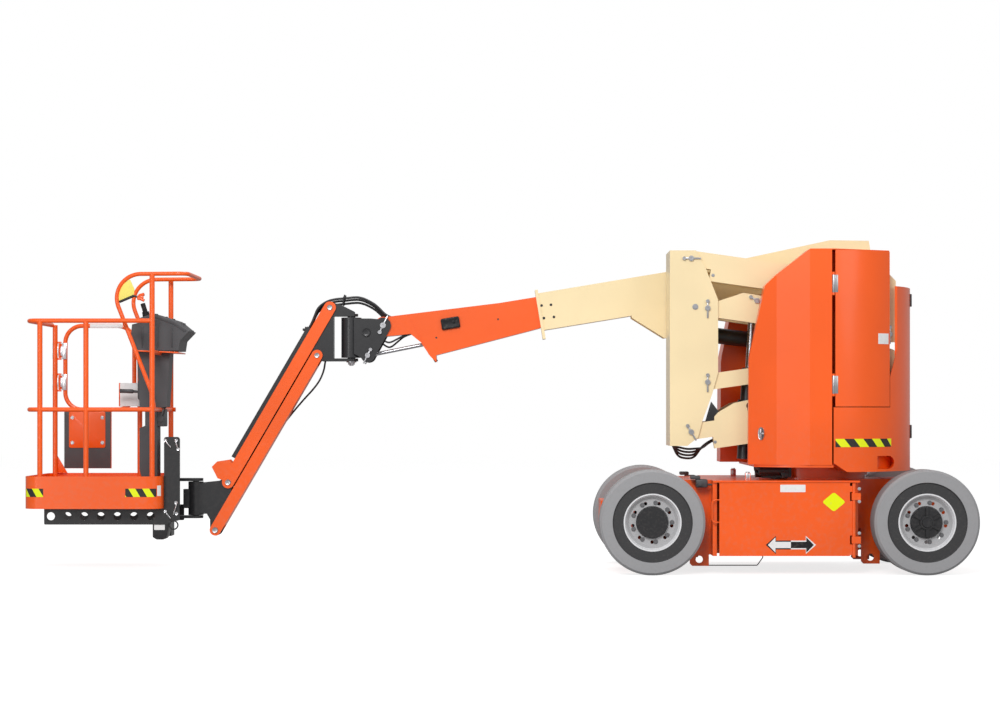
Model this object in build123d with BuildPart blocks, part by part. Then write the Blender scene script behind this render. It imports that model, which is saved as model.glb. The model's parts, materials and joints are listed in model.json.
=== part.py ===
from build123d import *
import os
from math import atan2, cos, degrees, hypot, radians, sin

# Articulating boom lift, in millimetres. +X runs from the work platform towards the steered
# front axle, +Y to the machine's far side, +Z up, with the floor at Z = 0 and the origin
# under the middle of the machine. "Near" is the -Y side, "far" the +Y side.

# ---------------------------------------------------------------- driving dimensions
overall_length = 5824.0
overall_width = 1220.0
wheelbase = 1650.0
tail_radius = overall_width / 2   # the turntable never reaches outside this circle
tyre_dia = 635.0
tyre_width = 178.0
rim_r = 174.0
hub_r = 100.0
spindle_r = 40.0
steer_axis_inset = 138.0     # kingpin, inboard of the wheel's middle plane

pin_r = 22.0                 # tower pins
pin_play = 0.1               # radial clearance of every pin in its bore
side_play = 2.0              # gap between a moving boss and the plate beside it
eye_play = 0.5               # the same beside a cylinder's eye

front_x = overall_length / 2 - tyre_dia / 2
rear_x = front_x - wheelbase
axle_z = tyre_dia / 2
wheel_y = (overall_width - tyre_width) / 2
kingpin_y = wheel_y - steer_axis_inset
slew_x = rear_x + 1037.0

# chassis
floor_z = 112.0              # ground clearance
deck_z = 568.0               # top of the chassis deck
plate = 10.0                 # chassis plate
rear_box_x0 = rear_x - 85.0
rear_beam_x0 = rear_x - 295.0  # beam behind the rear axle
rear_beam_z = (282.0, 433.0)
rear_beam_half = 180.0
bay_x0 = rear_x + 368.0      # battery bays, between the axles
bay_x1 = bay_x0 + 887.0
nose_x1 = front_x + 240.0
rear_half = 395.0
spine_half = 275.0
nose_half = 200.0
nose_z = 262.0
deck_half = 545.0

tie_r = 22.0                 # tie-down holes
tie_lugs = (                 # X from, X to, bottom, top, outer face from the middle plane
    (rear_x + 240.0, rear_x + 357.0, 42.0, floor_z, 390.0),
    (bay_x1 + 62.0, bay_x1 + 178.0, 42.0, nose_z, 200.0),
)

# battery doors
door_face_y = 560.0
door_x0 = bay_x0 + 37.0
web_half = 530.0             # reach of the webs beside the battery bays
door_x1 = bay_x1 - 63.0
door_hinge_x = bay_x1 - 39.0
door_tube_r = 10.5
door_sheet = 8.0
lug_heights = (190.0, 452.0)
lug_height = 42.0
battery_size = (175.0, 240.0, 300.0)
battery_pitch = 182.0

# slewing ring and turntable
ring_r = 330.0
ring_bore_r = 250.0
ring_z1 = 590.0
ring_gap = 0.5
base_z0 = 648.0
base_z1 = 663.0
base_front_x = slew_x - 410.0
cast_x0 = slew_x + 50.0      # front face of the counterweight, outside the slot
slot_cast_x = slew_x + 130.0   # and inside it
pocket_z = (636.0, 716.0)    # lifting pockets in the counterweight's skin
pocket_x = 387.0             # their middle, behind the slewing axis
pocket_depth = 60.0
pocket_len = 118.0
pocket_r = (pocket_z[1] - pocket_z[0]) / 2
cast_z0 = 621.0
cast_top_z = 1010.0
cast_inner_top_z = 905.0
wall_top_z = 1750.0          # curved rear wall behind the tower
wall_t = 12.0
slot_y0 = -388.0             # slot between the hoods, for the tower and the boom
slot_y1 = 200.0

# hoods
hood_z1 = 1964.0
hood_x1 = slew_x + 417.0     # rear edge of the curved doors
hood_t = 5.0
hood_door_x = slew_x + 50.0
hood_door_z0 = 1015.0
hood_hinge_y = tail_radius - 9.0
hood_hinges = ((1095.0, 1194.0), (1702.0, 1806.0))
hinge_r = 8.0
hinge_pin_r = 4.0
hinge_lug = 18.0

# tower: two stacked parallelograms between three uprights
tower_y0 = -350.0
tower_y1 = -10.0
upright_t = 12.0
rail_w = 60.0
rail_h = 98.0
rail_t = 6.0
boss_r = 42.0
link_run = 1115.0            # horizontal distance between a link's two pins, stowed
link_rise = 159.0            # height between them, stowed
pin_lower = (rear_x + 252.0, 860.0)                        # lower arm, mid upright end
pin_spread = (101.0, 305.0)                                # lower arm's pin to lower link's pin
pin_gap = 453.0                                            # lower link's pin to upper arm's pin

d_front = pin_lower
d_rear = (d_front[0] + link_run, d_front[1] + link_rise)
c_front = (d_front[0] + pin_spread[0], d_front[1] + pin_spread[1])
c_rear = (d_rear[0] + pin_spread[0], d_rear[1] + pin_spread[1])
b_front = (c_front[0], c_front[1] + pin_gap)
b_rear = (b_front[0] + link_run, b_front[1] - link_rise)
a_front = (b_front[0] - pin_spread[0], b_front[1] + pin_spread[1])
a_rear = (b_rear[0] - pin_spread[0], b_rear[1] + pin_spread[1])

# tower lift cylinder
tower_cyl_y = (tower_y0 + tower_y1) / 2 - 5.0
cyl_low = (d_front[0] + 361.0, d_front[1] + 160.0)
cyl_high = (b_front[0] + 297.0, b_front[1] + 43.0)

# boom: a telescope of two boxes, on its pivot at the top of the rear upright
boom_y = 85.0
boom_w = 150.0
boom_half_h = 117.0
boom_wall = 8.0
boom_angle = 9.3             # slope of the stowed boom, down towards its tip
boom_pin = (a_rear[0] - 12.0, a_rear[1] + 180.0)
boom_pin_r = 30.0
clevis_t = 16.0
fly_w = 122.0
fly_half_h = 97.0
fly_wall = 6.0
lift_base = (b_rear[0] - 63.0, b_rear[1] - 109.0)
lift_barrel_r = 50.0
level_pin_r = 12.0
level_barrel_r = 28.0
level_rod_r = 11.5
lift_rod_r = 28.0

# tip, jib and platform
platform_x0 = -overall_length / 2
tip_x = platform_x0 + 2198.0   # the boom's tip pin, from the platform's outer face
tip_above = 75.0             # and above the boom's middle line
tip_along = ((boom_pin[0] - tip_x - tip_above * sin(radians(boom_angle)))
             / cos(radians(boom_angle)))
tip_pin = (tip_along, tip_above)   # in the boom's own frame: along it, and square to it
boom_len = tip_along - 979.0
lift_eye = (0.6 * boom_len, -250.0)
level_foot = (tip_along - 801.0, -62.0)   # levelling cylinder's base
ear_t = 12.0
rotator_reach = 205.0        # tip pin to the jib's swing axis
rotator_r = 64.0
rotator_z = (1325.0, 1578.0)
jib_offset = (-337.0, 114.0)   # tip pin to the jib arm's upper pin
jib_run = (-642.0, -1102.0)  # jib arm's upper pin to its lower pin, stowed
jib_drop = (-81.0, -301.5)   # arm pin to link pin, at both ends of the jib
jib_half_w = 55.0
jib_wall = 8.0
jib_arm_h = 38.0
jib_link_h = 35.0
jib_plate = (33.0, 43.0)     # inner and outer faces of the plates between the jib walls
jib_pin_r = 15.0
platform_reach = 210.0       # jib arm's lower pin to the platform's swing axis
jib_rot_r = 48.0
jib_rot_z = (331.0, 541.0)

platform_len = 850.0
platform_w = 760.0
platform_z0 = 385.0
kick_h = 200.0
kick_t = 5.0
floor_t = 10.0
corner_r = 90.0
rail_r = 14.0
post_r = 16.0
top_rail_z = 1545.0
mid_rail_z = 997.0
rail_inset = (22.0, 30.0)    # rails' middle inside the tray's outer face, along X and along Y

os.makedirs("parts", exist_ok=True)


# ---------------------------------------------------------------- shared construction
def side(y):
    """Plane of a side view, facing -Y: its x is the machine's X and its y the machine's Z."""
    return Plane.XZ.offset(-y)


def boom_frame(y):
    """The boom's own plane: x along the boom to its tip, y square to it and upwards."""
    slope = radians(boom_angle)
    return Plane(origin=(boom_pin[0], y, boom_pin[1]), x_dir=(-cos(slope), 0, -sin(slope)),
                 z_dir=(0, 1, 0))


def boom_point(along, above):
    """Machine X and Z of a point given in the boom's own frame."""
    slope = radians(boom_angle)
    return (boom_pin[0] - along * cos(slope) - above * sin(slope),
            boom_pin[1] - along * sin(slope) + above * cos(slope))


def slab(points, y0, y1, mode=Mode.ADD, radius=0.0):
    """Side-view outline between two values of Y."""
    with BuildSketch(side(y1)) as outline:
        with BuildLine():
            Polyline(*points, close=True)
        make_face()
        if radius:
            fillet(outline.vertices(), radius)
    extrude(outline.sketch, amount=y1 - y0, mode=mode)


def disc(centre, r, y0, y1, mode=Mode.ADD):
    """Round boss, pin or bore along Y."""
    with BuildSketch(side(y1)) as outline:
        with Locations(centre):
            Circle(r)
    extrude(outline.sketch, amount=y1 - y0, mode=mode)


def strut(p, q, half_h, y0, y1, mode=Mode.ADD, start=0.0, end=0.0):
    """Straight bar between two side-view points, as deep as twice half_h, with square ends."""
    span = hypot(q[0] - p[0], q[1] - p[1])
    with BuildSketch(side(y1)) as outline:
        with Locations(Location(((p[0] + q[0]) / 2, (p[1] + q[1]) / 2, 0))):
            with Locations(Location((0, 0, 0), (0, 0, degrees(atan2(q[1] - p[1], q[0] - p[0]))))):
                with Locations(((start - end) / 2, 0)):
                    Rectangle(span - start - end, 2 * half_h)
    extrude(outline.sketch, amount=y1 - y0, mode=mode)


def round_bar(p, q, y, r, start, end, mode=Mode.ADD):
    """Round bar on the line from p to q, from start to end along it."""
    span = hypot(q[0] - p[0], q[1] - p[1])
    ux, uz = (q[0] - p[0]) / span, (q[1] - p[1]) / span
    seat = Plane(origin=(p[0] + ux * start, y, p[1] + uz * start), z_dir=(ux, 0, uz))
    with BuildSketch(seat) as outline:
        Circle(r)
    extrude(outline.sketch, amount=end - start, mode=mode)


def block(x0, x1, y0, y1, z0, z1, mode=Mode.ADD):
    """Box between limits on each axis."""
    with Locations(((x0 + x1) / 2, (y0 + y1) / 2, (z0 + z1) / 2)):
        Box(x1 - x0, y1 - y0, z1 - z0, mode=mode)


tip = boom_point(*tip_pin)
level_base = boom_point(*level_foot)
rotator_x = tip[0] - rotator_reach
jib_top = (tip[0] + jib_offset[0], tip[1] + jib_offset[1])
jib_low = (jib_top[0] + jib_run[0], jib_top[1] + jib_run[1])
jib_foot = (jib_top[0] + jib_drop[0], jib_top[1] + jib_drop[1])
jib_tail = (jib_low[0] + jib_drop[0], jib_low[1] + jib_drop[1])
jib_axis_x = jib_low[0] - platform_reach


def finish(part, name):
    part.part.label = name
    export_step(part.part, f"parts/{name}.step")


# ---------------------------------------------------------------- wheels
tyre_half = tyre_width / 2
shoulder = 14.0
band_r = 241.0               # where the tread rubber meets the base band
band_step = 8.0
wheels = [                   # name, axle X, side of the machine, steered
    ("rear_near", rear_x, -1, False),
    ("rear_far", rear_x, 1, False),
    ("front_near", front_x, -1, True),
    ("front_far", front_x, 1, True),
]
for corner, x, way, steered in wheels:
    middle = way * wheel_y
    axis = Axis((x, 0, axle_z), (0, 1, 0))
    section = Plane(origin=(x, middle, axle_z), x_dir=(0, way, 0), z_dir=(way, 0, 0))

    with BuildPart() as tyre:
        with BuildSketch(section):
            with BuildLine():
                Polyline(
                    (-tyre_half + band_step, rim_r), (tyre_half - band_step, rim_r),
                    (tyre_half - band_step, band_r - band_step), (tyre_half, band_r),
                    (tyre_half, tyre_dia / 2 - shoulder), (tyre_half - shoulder, tyre_dia / 2),
                    (-tyre_half + shoulder, tyre_dia / 2), (-tyre_half, tyre_dia / 2 - shoulder),
                    (-tyre_half, band_r), (-tyre_half + band_step, band_r - band_step),
                    close=True)
            make_face()
        revolve(axis=axis)
    finish(tyre, "tyre_" + corner)

    well = tyre_half - band_step
    disc_out = 42.0          # outer face of the wheel disc, from the wheel's middle plane
    disc_t = 10.0
    hub_out = 66.0
    with BuildPart() as rim:
        with BuildSketch(section):
            with BuildLine():
                Polyline(
                    (-well, rim_r), (-well, rim_r - 12), (disc_out - disc_t - 20, rim_r - 14),
                    (disc_out - disc_t, rim_r - 30), (disc_out - disc_t, hub_r + 6),
                    (-30, hub_r - 8), (-30, spindle_r + pin_play), (16, spindle_r + pin_play),
                    (16, 0), (hub_out, 0), (hub_out, hub_r - 8), (disc_out, hub_r),
                    (disc_out, rim_r - 34), (disc_out + 16, rim_r - 16), (well, rim_r - 8),
                    (well, rim_r), close=True)
            make_face()
        revolve(axis=axis)
        face = Plane(origin=(x, middle + way * disc_out, axle_z), z_dir=(0, way, 0))
        with BuildSketch(face):
            with PolarLocations(119.0, 9):
                Circle(11.0)
        extrude(amount=-disc_t, mode=Mode.SUBTRACT)
        if steered:
            cap = Plane(origin=(x, middle + way * hub_out, axle_z), z_dir=(0, way, 0))
            with BuildSketch(cap):
                with PolarLocations(66.0, 6):
                    Rectangle(44.0, 16.0)
                Circle(43.0)
            extrude(amount=14.0)
            with BuildSketch(cap.offset(14.0)):
                Circle(32.0)
            extrude(amount=8.0, taper=20)
    finish(rim, "rim_" + corner)

# ---------------------------------------------------------------- axles and steering
kingpin_r = 20.0
axle_end_r = 44.0
ear_r = 42.0
beam_z = (272.0, 363.0)
ear_gap = 5.0
ear_h = 22.0
arm_back = 130.0
spindle_end = wheel_y + 15.0
with BuildPart() as rear_axle:
    for way in (-1, 1):
        for r, reach in ((115.0, 418.0), (80.0, 485.0), (spindle_r, spindle_end)):
            inner = min(way * rear_half, way * reach)
            disc((rear_x, axle_z), r, inner, inner + abs(reach - rear_half))
finish(rear_axle, "rear_axle")

with BuildPart() as front_axle:
    block(front_x - 50, front_x + 50, -kingpin_y, kingpin_y, *beam_z)
    for way in (-1, 1):
        with Locations((front_x, way * kingpin_y, sum(beam_z) / 2)):
            Cylinder(axle_end_r, beam_z[1] - beam_z[0])
            Cylinder(kingpin_r + pin_play, 2 * (beam_z[1] - beam_z[0]), mode=Mode.SUBTRACT)
finish(front_axle, "front_axle")

knuckle_z = (beam_z[0] - ear_gap - ear_h, beam_z[1] + ear_gap + ear_h)
stub_y = kingpin_y + 55.0
tie_x = front_x - arm_back
tie_y = kingpin_y
tie_pin_r = 9.0
tie_z = 228.0
for name, way in (("knuckle_near", -1), ("knuckle_far", 1)):
    with BuildPart() as knuckle:
        for z in (knuckle_z[0], knuckle_z[1] - ear_h):
            with Locations((front_x, way * kingpin_y, z + ear_h / 2)):
                Cylinder(ear_r, ear_h)
            inner = min(way * kingpin_y, way * (stub_y + 8))
            block(front_x - ear_r, front_x + ear_r, inner, inner + stub_y + 8 - kingpin_y,
                  z, z + ear_h)
        inner = min(way * stub_y, way * (stub_y + 15))
        block(front_x - 60, front_x + 60, inner, inner + 15, *knuckle_z)
        with Locations((front_x, way * kingpin_y, sum(knuckle_z) / 2)):
            Cylinder(kingpin_r, knuckle_z[1] - knuckle_z[0])
        inner = min(way * stub_y, way * spindle_end)
        disc((front_x, axle_z), spindle_r, inner, inner + spindle_end - stub_y)
        with BuildSketch(Plane.XY.offset(knuckle_z[0])):
            with BuildLine():
                Polyline((front_x + 20, way * (kingpin_y + 30)),
                         (front_x + 20, way * (kingpin_y - 36)),
                         (tie_x - 8, way * (tie_y - 24)), (tie_x - 24, way * tie_y),
                         (tie_x - 8, way * (tie_y + 20)), close=True)
            make_face()
        extrude(amount=ear_h - 4)
        with Locations((tie_x, way * tie_y, (tie_z - 10 + knuckle_z[0] + 2) / 2)):
            Cylinder(tie_pin_r, knuckle_z[0] + 2 - tie_z + 10)
    finish(knuckle, name)

with BuildPart() as tie_rod:
    with Locations(Location((tie_x, 0, tie_z), (90, 0, 0))):
        Cylinder(14.0, 2 * tie_y - 40)
    for way in (-1, 1):
        with Locations((tie_x, way * tie_y, tie_z)):
            Cylinder(23.0, 34.0)
            Cylinder(tie_pin_r + pin_play, 60.0, mode=Mode.SUBTRACT)
finish(tie_rod, "tie_rod")

# ---------------------------------------------------------------- chassis
lug_y = (470.0, door_face_y + 14.0)
post_x = bay_x1 - 22.0
with BuildPart() as chassis:
    block(rear_box_x0, bay_x0, -rear_half, rear_half, floor_z, deck_z)
    block(rear_beam_x0, rear_box_x0, -rear_beam_half, rear_beam_half, *rear_beam_z)
    block(bay_x0, bay_x1, -spine_half, spine_half, floor_z, deck_z)
    block(bay_x1, nose_x1, -nose_half, nose_half, nose_z, deck_z)
    block(rear_box_x0 + plate, bay_x0 - plate, -rear_half + plate, rear_half - plate,
          floor_z + plate, deck_z - plate, mode=Mode.SUBTRACT)
    block(bay_x0, bay_x1 - plate, -spine_half + plate, spine_half - plate,
          floor_z + plate, deck_z - plate, mode=Mode.SUBTRACT)
    block(bay_x1, nose_x1 - plate, -nose_half + plate, nose_half - plate,
          nose_z + plate, deck_z - plate, mode=Mode.SUBTRACT)
    block(front_x - 50, front_x + 50, -nose_half, nose_half, *beam_z, mode=Mode.SUBTRACT)
    for way in (-1, 1):
        web = sorted((way * (spine_half - plate), way * web_half))
        block(bay_x0, door_x0 - 12, *web, floor_z, deck_z - plate)
        deck = sorted((way * spine_half, way * deck_half))
        block(bay_x0, bay_x1, *deck, deck_z - plate - 2, deck_z)
        web = sorted((way * spine_half, way * lug_y[0]))
        block(post_x, bay_x1, *web, floor_z, deck_z - plate)
        for z in lug_heights:
            reach = sorted((way * lug_y[0], way * lug_y[1]))
            block(door_hinge_x - 15, bay_x1, *reach, z, z + lug_height)
            with Locations((door_hinge_x, way * door_face_y, z + lug_height / 2)):
                Cylinder(door_tube_r + pin_play, lug_height + 2, mode=Mode.SUBTRACT)
        block(rear_x + 573, rear_x + 605, way * 430 - 16, way * 430 + 16, deck_z - 8, deck_z + 42)
    with Locations((slew_x, 0, (deck_z + ring_z1) / 2)):
        Cylinder(ring_r, ring_z1 - deck_z)
        Cylinder(ring_bore_r, 2 * (ring_z1 - deck_z) + 60, mode=Mode.SUBTRACT)
finish(chassis, "chassis_frame")

with BuildPart() as tie_plates:
    for way in (-1, 1):
        for x0, x1, z0, z1, y in tie_lugs:
            plate_y = sorted((way * y, way * (y - plate)))
            slab([(x0, z1), (x0, z0 + 15), (x0 + 15, z0), (x1, z0), (x1, z1)], *plate_y)
            disc(((x0 + x1) / 2, z0 + 40), tie_r, plate_y[0] - 1, plate_y[1] + 1, mode=Mode.SUBTRACT)
finish(tie_plates, "tie_down_plates")

strap_r = 3.0
with BuildPart() as strap:
    with BuildLine() as route:
        FilletPolyline((rear_x + 702, -250, floor_z), (rear_x + 702, -250, 84),
                       (rear_x + 668, -250, 36), (rear_x + 277, -250, 36), radius=12)
    with BuildSketch(Plane(origin=route.line @ 0, z_dir=route.line % 0)):
        Circle(strap_r)
    sweep()
finish(strap, "ground_strap")

# ---------------------------------------------------------------- battery doors
tray_x0 = door_x0 + 50.0
tray_y = 300.0
handle_r = 4.0
for name, way in (("near", -1), ("far", 1)):
    with BuildPart() as door:
        face = sorted((way * door_face_y, way * (door_face_y - door_sheet)))
        block(door_x0, door_x1, *face, floor_z + 2, deck_z - plate - 4)
        floor = sorted((way * (door_face_y - door_sheet), way * tray_y))
        block(tray_x0, door_x1 - 6, *floor, floor_z + 2, floor_z + 2 + plate)
        back = sorted((way * tray_y, way * (tray_y + 5)))
        block(tray_x0, door_x1 - 6, *back, floor_z + 2, floor_z + 90)
        with Locations((door_hinge_x, way * door_face_y, floor_z + 217)):
            Cylinder(door_tube_r, 446.0)
        strips = (floor_z + 2, lug_heights[0], lug_heights[0] + lug_height, lug_heights[1],
                  lug_heights[1] + lug_height, floor_z + 430)
        for low, high in zip(strips[0::2], strips[1::2]):
            block(door_x1 - 10, door_hinge_x, *face, low + 6, high - 6)
        handle_y = way * (door_face_y - door_sheet / 2)
        with BuildLine() as loop:
            FilletPolyline((door_x0 + 2, handle_y, 317), (door_x0 - 44, handle_y, 317),
                           (door_x0 - 44, handle_y, 452), (door_x0 + 2, handle_y, 452),
                           radius=22)
        with BuildSketch(Plane(origin=loop.line @ 0, z_dir=loop.line % 0)):
            Circle(handle_r)
        sweep()
    finish(door, "battery_door_" + name)

    with BuildPart() as batteries:
        for i in range(4):
            x = tray_x0 + 6 + i * battery_pitch
            depth = sorted((way * (tray_y + 6), way * (tray_y + 6 + battery_size[1])))
            block(x, x + battery_size[0], *depth, floor_z + 12, floor_z + 12 + battery_size[2])
    finish(batteries, "batteries_" + name)

# ---------------------------------------------------------------- turntable
upright_y = ((tower_y0, tower_y0 + upright_t), (tower_y1 - upright_t, tower_y1))
hub_plate_r = ring_r + 15.0
slot_mid = (slot_y0 + slot_y1) / 2
slot_w = slot_y1 - slot_y0
far_off = 4 * tail_radius    # larger than anything it trims


def behind(x, y0=-far_off, y1=far_off, mode=Mode.ADD):
    """Sketch rectangle from x to well behind the machine."""
    with Locations((x + far_off / 2, (y0 + y1) / 2)):
        Rectangle(far_off, y1 - y0, mode=mode)


def ahead(x, y0=-far_off, y1=far_off, mode=Mode.ADD):
    """Sketch rectangle from x to well ahead of the machine."""
    with Locations((x - far_off / 2, (y0 + y1) / 2)):
        Rectangle(far_off, y1 - y0, mode=mode)


with BuildPart() as turntable:
    with BuildSketch(Plane.XY.offset(base_z0)):
        with Locations((slew_x, 0)):
            Circle(tail_radius - 12)
        ahead(base_front_x, mode=Mode.SUBTRACT)
        behind(slot_cast_x, mode=Mode.SUBTRACT)
        behind(cast_x0, slot_y1, far_off, mode=Mode.SUBTRACT)
        behind(cast_x0, -far_off, slot_y0, mode=Mode.SUBTRACT)
    extrude(amount=base_z1 - base_z0)
    with BuildSketch(Plane.XY.offset(ring_z1 + ring_gap)):
        with Locations((slew_x, 0)):
            Circle(hub_plate_r)
            Circle(ring_bore_r - 60, mode=Mode.SUBTRACT)
    extrude(amount=base_z0 - ring_z1 - ring_gap)
finish(turntable, "turntable_frame")

with BuildPart() as tower_base:
    for y0, y1 in upright_y:
        slab([(base_front_x + 160, base_z1), (slot_cast_x - 5, base_z1),
              (slot_cast_x - 5, cast_inner_top_z + 5), (c_rear[0] + boss_r, cast_inner_top_z + 5),
              (c_rear[0] + boss_r, c_rear[1]), (c_rear[0] - boss_r, c_rear[1]),
              (d_rear[0] - 60, d_rear[1] + 20), (base_front_x + 160, base_z1 + 60)], y0, y1)
        disc(c_rear, boss_r, y0, y1)
    for pin in (c_rear, d_rear):
        disc(pin, pin_r, tower_y0, tower_y1)
    block(c_rear[0] - 150, c_rear[0] + 20, tower_y0 + upright_t, tower_y1 - upright_t,
          cast_inner_top_z, cast_inner_top_z + 25)
finish(tower_base, "tower_base")

with BuildPart() as pocket:
    with BuildSketch(Plane.XY.offset(pocket_z[0])):
        with Locations((slew_x, 0)):
            Circle(tail_radius + 10)
            Circle(tail_radius - pocket_depth, mode=Mode.SUBTRACT)
    extrude(amount=pocket_z[1] - pocket_z[0])
    with BuildSketch(side(far_off)):
        with Locations((slew_x + pocket_x - pocket_r / 2, sum(pocket_z) / 2)):
            Rectangle(pocket_len - pocket_r, 2 * pocket_r)
        with Locations((slew_x + pocket_x + pocket_len / 2 - pocket_r, sum(pocket_z) / 2)):
            Circle(pocket_r)
    extrude(amount=2 * far_off, mode=Mode.INTERSECT)

with BuildPart() as casting:
    with BuildSketch(Plane.XY.offset(cast_z0)):
        with Locations((slew_x, 0)):
            Circle(tail_radius)
        ahead(cast_x0, mode=Mode.SUBTRACT)
        ahead(slot_cast_x, slot_y0, slot_y1, mode=Mode.SUBTRACT)
    extrude(amount=cast_inner_top_z - cast_z0)
    with BuildSketch(Plane.XY.offset(cast_inner_top_z)):
        with Locations((slew_x, 0)):
            Circle(tail_radius)
        ahead(cast_x0, mode=Mode.SUBTRACT)
        with Locations((slew_x, slot_mid)):
            Rectangle(far_off, slot_w, mode=Mode.SUBTRACT)
    extrude(amount=cast_top_z - cast_inner_top_z)
    with BuildSketch(Plane.XY.offset(cast_inner_top_z)):
        with Locations((slew_x, 0)):
            Circle(tail_radius)
            Circle(tail_radius - wall_t, mode=Mode.SUBTRACT)
        ahead(hood_x1, mode=Mode.SUBTRACT)
        behind(slew_x, slot_y1, far_off, mode=Mode.SUBTRACT)
    extrude(amount=wall_top_z - cast_inner_top_z)
    slab([(hood_x1 - 20, 1202), (hood_x1 + 2, 1202), (slew_x + 470, 1370), (slew_x + 470, hood_z1),
          (hood_x1 - 20, hood_z1)], -far_off, slot_y0, mode=Mode.SUBTRACT)
    slab([(cast_x0 - 1, cast_z0 - 1), (cast_x0 + 84, cast_z0 - 1), (cast_x0 - 1, cast_z0 + 55)],
         -far_off, far_off, mode=Mode.SUBTRACT)
    with Locations((slew_x, 0, (cast_z0 + base_z0) / 2)):
        Cylinder(hub_plate_r + 6, base_z0 - cast_z0 + 8, mode=Mode.SUBTRACT)
    add(pocket.part, mode=Mode.SUBTRACT)
finish(casting, "counterweight")

with BuildPart() as swing_drive:
    block(slew_x - 350, slew_x - 250, -335, -250, 577, base_z0)
    block(slew_x - 260, slew_x - 172, -360, -312, 582, base_z0)
    with Locations(Location((slew_x - 365, -272, 607), (0, 90, 0))):
        Cylinder(28.0, 40.0)
finish(swing_drive, "swing_drive")

# ---------------------------------------------------------------- hoods
hood_plan = [                # X from the slewing axis, distance inside the tail circle's edge
    (-445, 180), (-285, 70), (-92, 10), (50, 3), (417, 165),
]
hood_side = tail_radius - hood_plan[0][1]
hood_out = tail_radius + 90.0
hood_profile = [             # front edge from the bottom upwards: X from the slewing axis, Z
    (-445, base_z1), (-440, 1303), (-435, 1343), (-385, 1575), (-350, 1747), (-284, 1812),
    (-90, hood_z1),
]
hoods = [                    # name, side, inner wall, how far the front edge is moved forward
    ("near", -1, slot_y0, 0.0),
    ("far", 1, slot_y1, 110.0),
]


def hood_solid(way, inner_y, forward, inset):
    """The closed outer form of a hood, taken in by inset on every side."""
    with BuildPart() as form:
        with BuildSketch(Plane.XY.offset(base_z1 + (inset if inset else 0))):
            with BuildLine():
                corners = [(slew_x + hood_plan[0][0] - forward + inset, way * (hood_side - inset))]
                corners += [(slew_x + dx, way * (tail_radius - dy - inset))
                            for dx, dy in hood_plan[1:-1]]
                corners += [(hood_x1 - 4 - inset, way * (hood_side + 8 - inset)),
                            (hood_x1 - 4 - inset, inner_y + way * inset),
                            (slew_x - 445 - forward + inset, inner_y + way * inset)]
                Polyline(*corners, close=True)
            make_face()
        extrude(amount=hood_z1 - base_z1 - 2 * inset)
        with BuildSketch(side(700)):
            with BuildLine():
                front = [(slew_x + dx - (forward if z < 1600 else forward / 2) + inset,
                          z - (inset if z > 1400 else 0)) for dx, z in hood_profile]
                Polyline(*front, (slew_x + 450, hood_z1 - inset), (slew_x + 450, base_z1), close=True)
            make_face()
        extrude(amount=1400, mode=Mode.INTERSECT)
    return form.part


for name, way, inner_y, forward in hoods:
    with BuildPart() as hood:
        add(hood_solid(way, inner_y, forward, 0.0))
        add(hood_solid(way, inner_y, forward, hood_t), mode=Mode.SUBTRACT)
        opening = sorted((way * hood_side, way * hood_out))
        block(hood_door_x - 10, slew_x + 460, *opening, base_z1 - 1, hood_z1 - 6, mode=Mode.SUBTRACT)
        below = sorted((inner_y - way, way * hood_out))
        block(cast_x0 - 4, slew_x + 460, *below, base_z1 - 1, cast_top_z + 2, mode=Mode.SUBTRACT)
        for low, high in hood_hinges:
            for z in (low - hinge_lug, high):
                with Locations((hood_door_x, way * hood_hinge_y, z + hinge_lug / 2)):
                    Cylinder(hinge_r, hinge_lug)
                reach = sorted((way * (hood_hinge_y - 6), way * (hood_hinge_y + 2)))
                block(hood_door_x - 14, hood_door_x, *reach, z, z + hinge_lug)
            with Locations((hood_door_x, way * hood_hinge_y, (low + high) / 2)):
                Cylinder(hinge_pin_r, high - low + hinge_lug)
    finish(hood, "hood_" + name)

    with BuildPart() as leaf:
        with BuildSketch(Plane.XY.offset(hood_door_z0)):
            with Locations((slew_x, 0)):
                Circle(tail_radius)
                Circle(tail_radius - 5, mode=Mode.SUBTRACT)
            with Locations((slew_x, -way * (far_off / 2 - hood_side - 15))):
                Rectangle(far_off, far_off, mode=Mode.SUBTRACT)
            with Locations((hood_door_x + 10 - 500, 0), (hood_x1 - 3 + 500, 0)):
                Rectangle(1000, 1400, mode=Mode.SUBTRACT)
        extrude(amount=hood_z1 - 8 - hood_door_z0)
        for low, high in hood_hinges:
            spot = (hood_door_x, way * hood_hinge_y, (low + high) / 2)
            with Locations(spot):
                Cylinder(hinge_r, high - low - 2)
            reach = sorted((way * (hood_hinge_y - 4), way * (hood_hinge_y + 4)))
            block(hood_door_x, hood_door_x + 16, *reach, low + 1, high - 1)
            with Locations(spot):
                Cylinder(hinge_pin_r + pin_play, high - low, mode=Mode.SUBTRACT)
    finish(leaf, "hood_door_" + name)

with BuildPart() as power_unit:
    block(slew_x - 250, slew_x - 20, slot_y0 - 130, slot_y0 - 10, base_z1 + hood_t,
          base_z1 + 330)
finish(power_unit, "power_unit")

# ---------------------------------------------------------------- tower
arm_y = (tower_y0 + upright_t + side_play, tower_y1 - upright_t - side_play)
rails_y = ((arm_y[0], arm_y[0] + rail_w), (arm_y[1] - rail_w, arm_y[1]))
tray_h = 72.0
gusset_t = 12.0


def tower_link(p, q):
    """Two box rails joined by a cross tube at each pin."""
    for y0, y1 in rails_y:
        strut(p, q, rail_h / 2, y0, y1)
        strut(p, q, rail_h / 2 - rail_t, y0 + rail_t, y1 - rail_t, Mode.SUBTRACT, 60, 60)
    for pin in (p, q):
        disc(pin, rail_h / 2 - 2, *arm_y)


def bore(pin, r, y0, y1):
    disc(pin, r + pin_play, y0, y1, mode=Mode.SUBTRACT)


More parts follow.
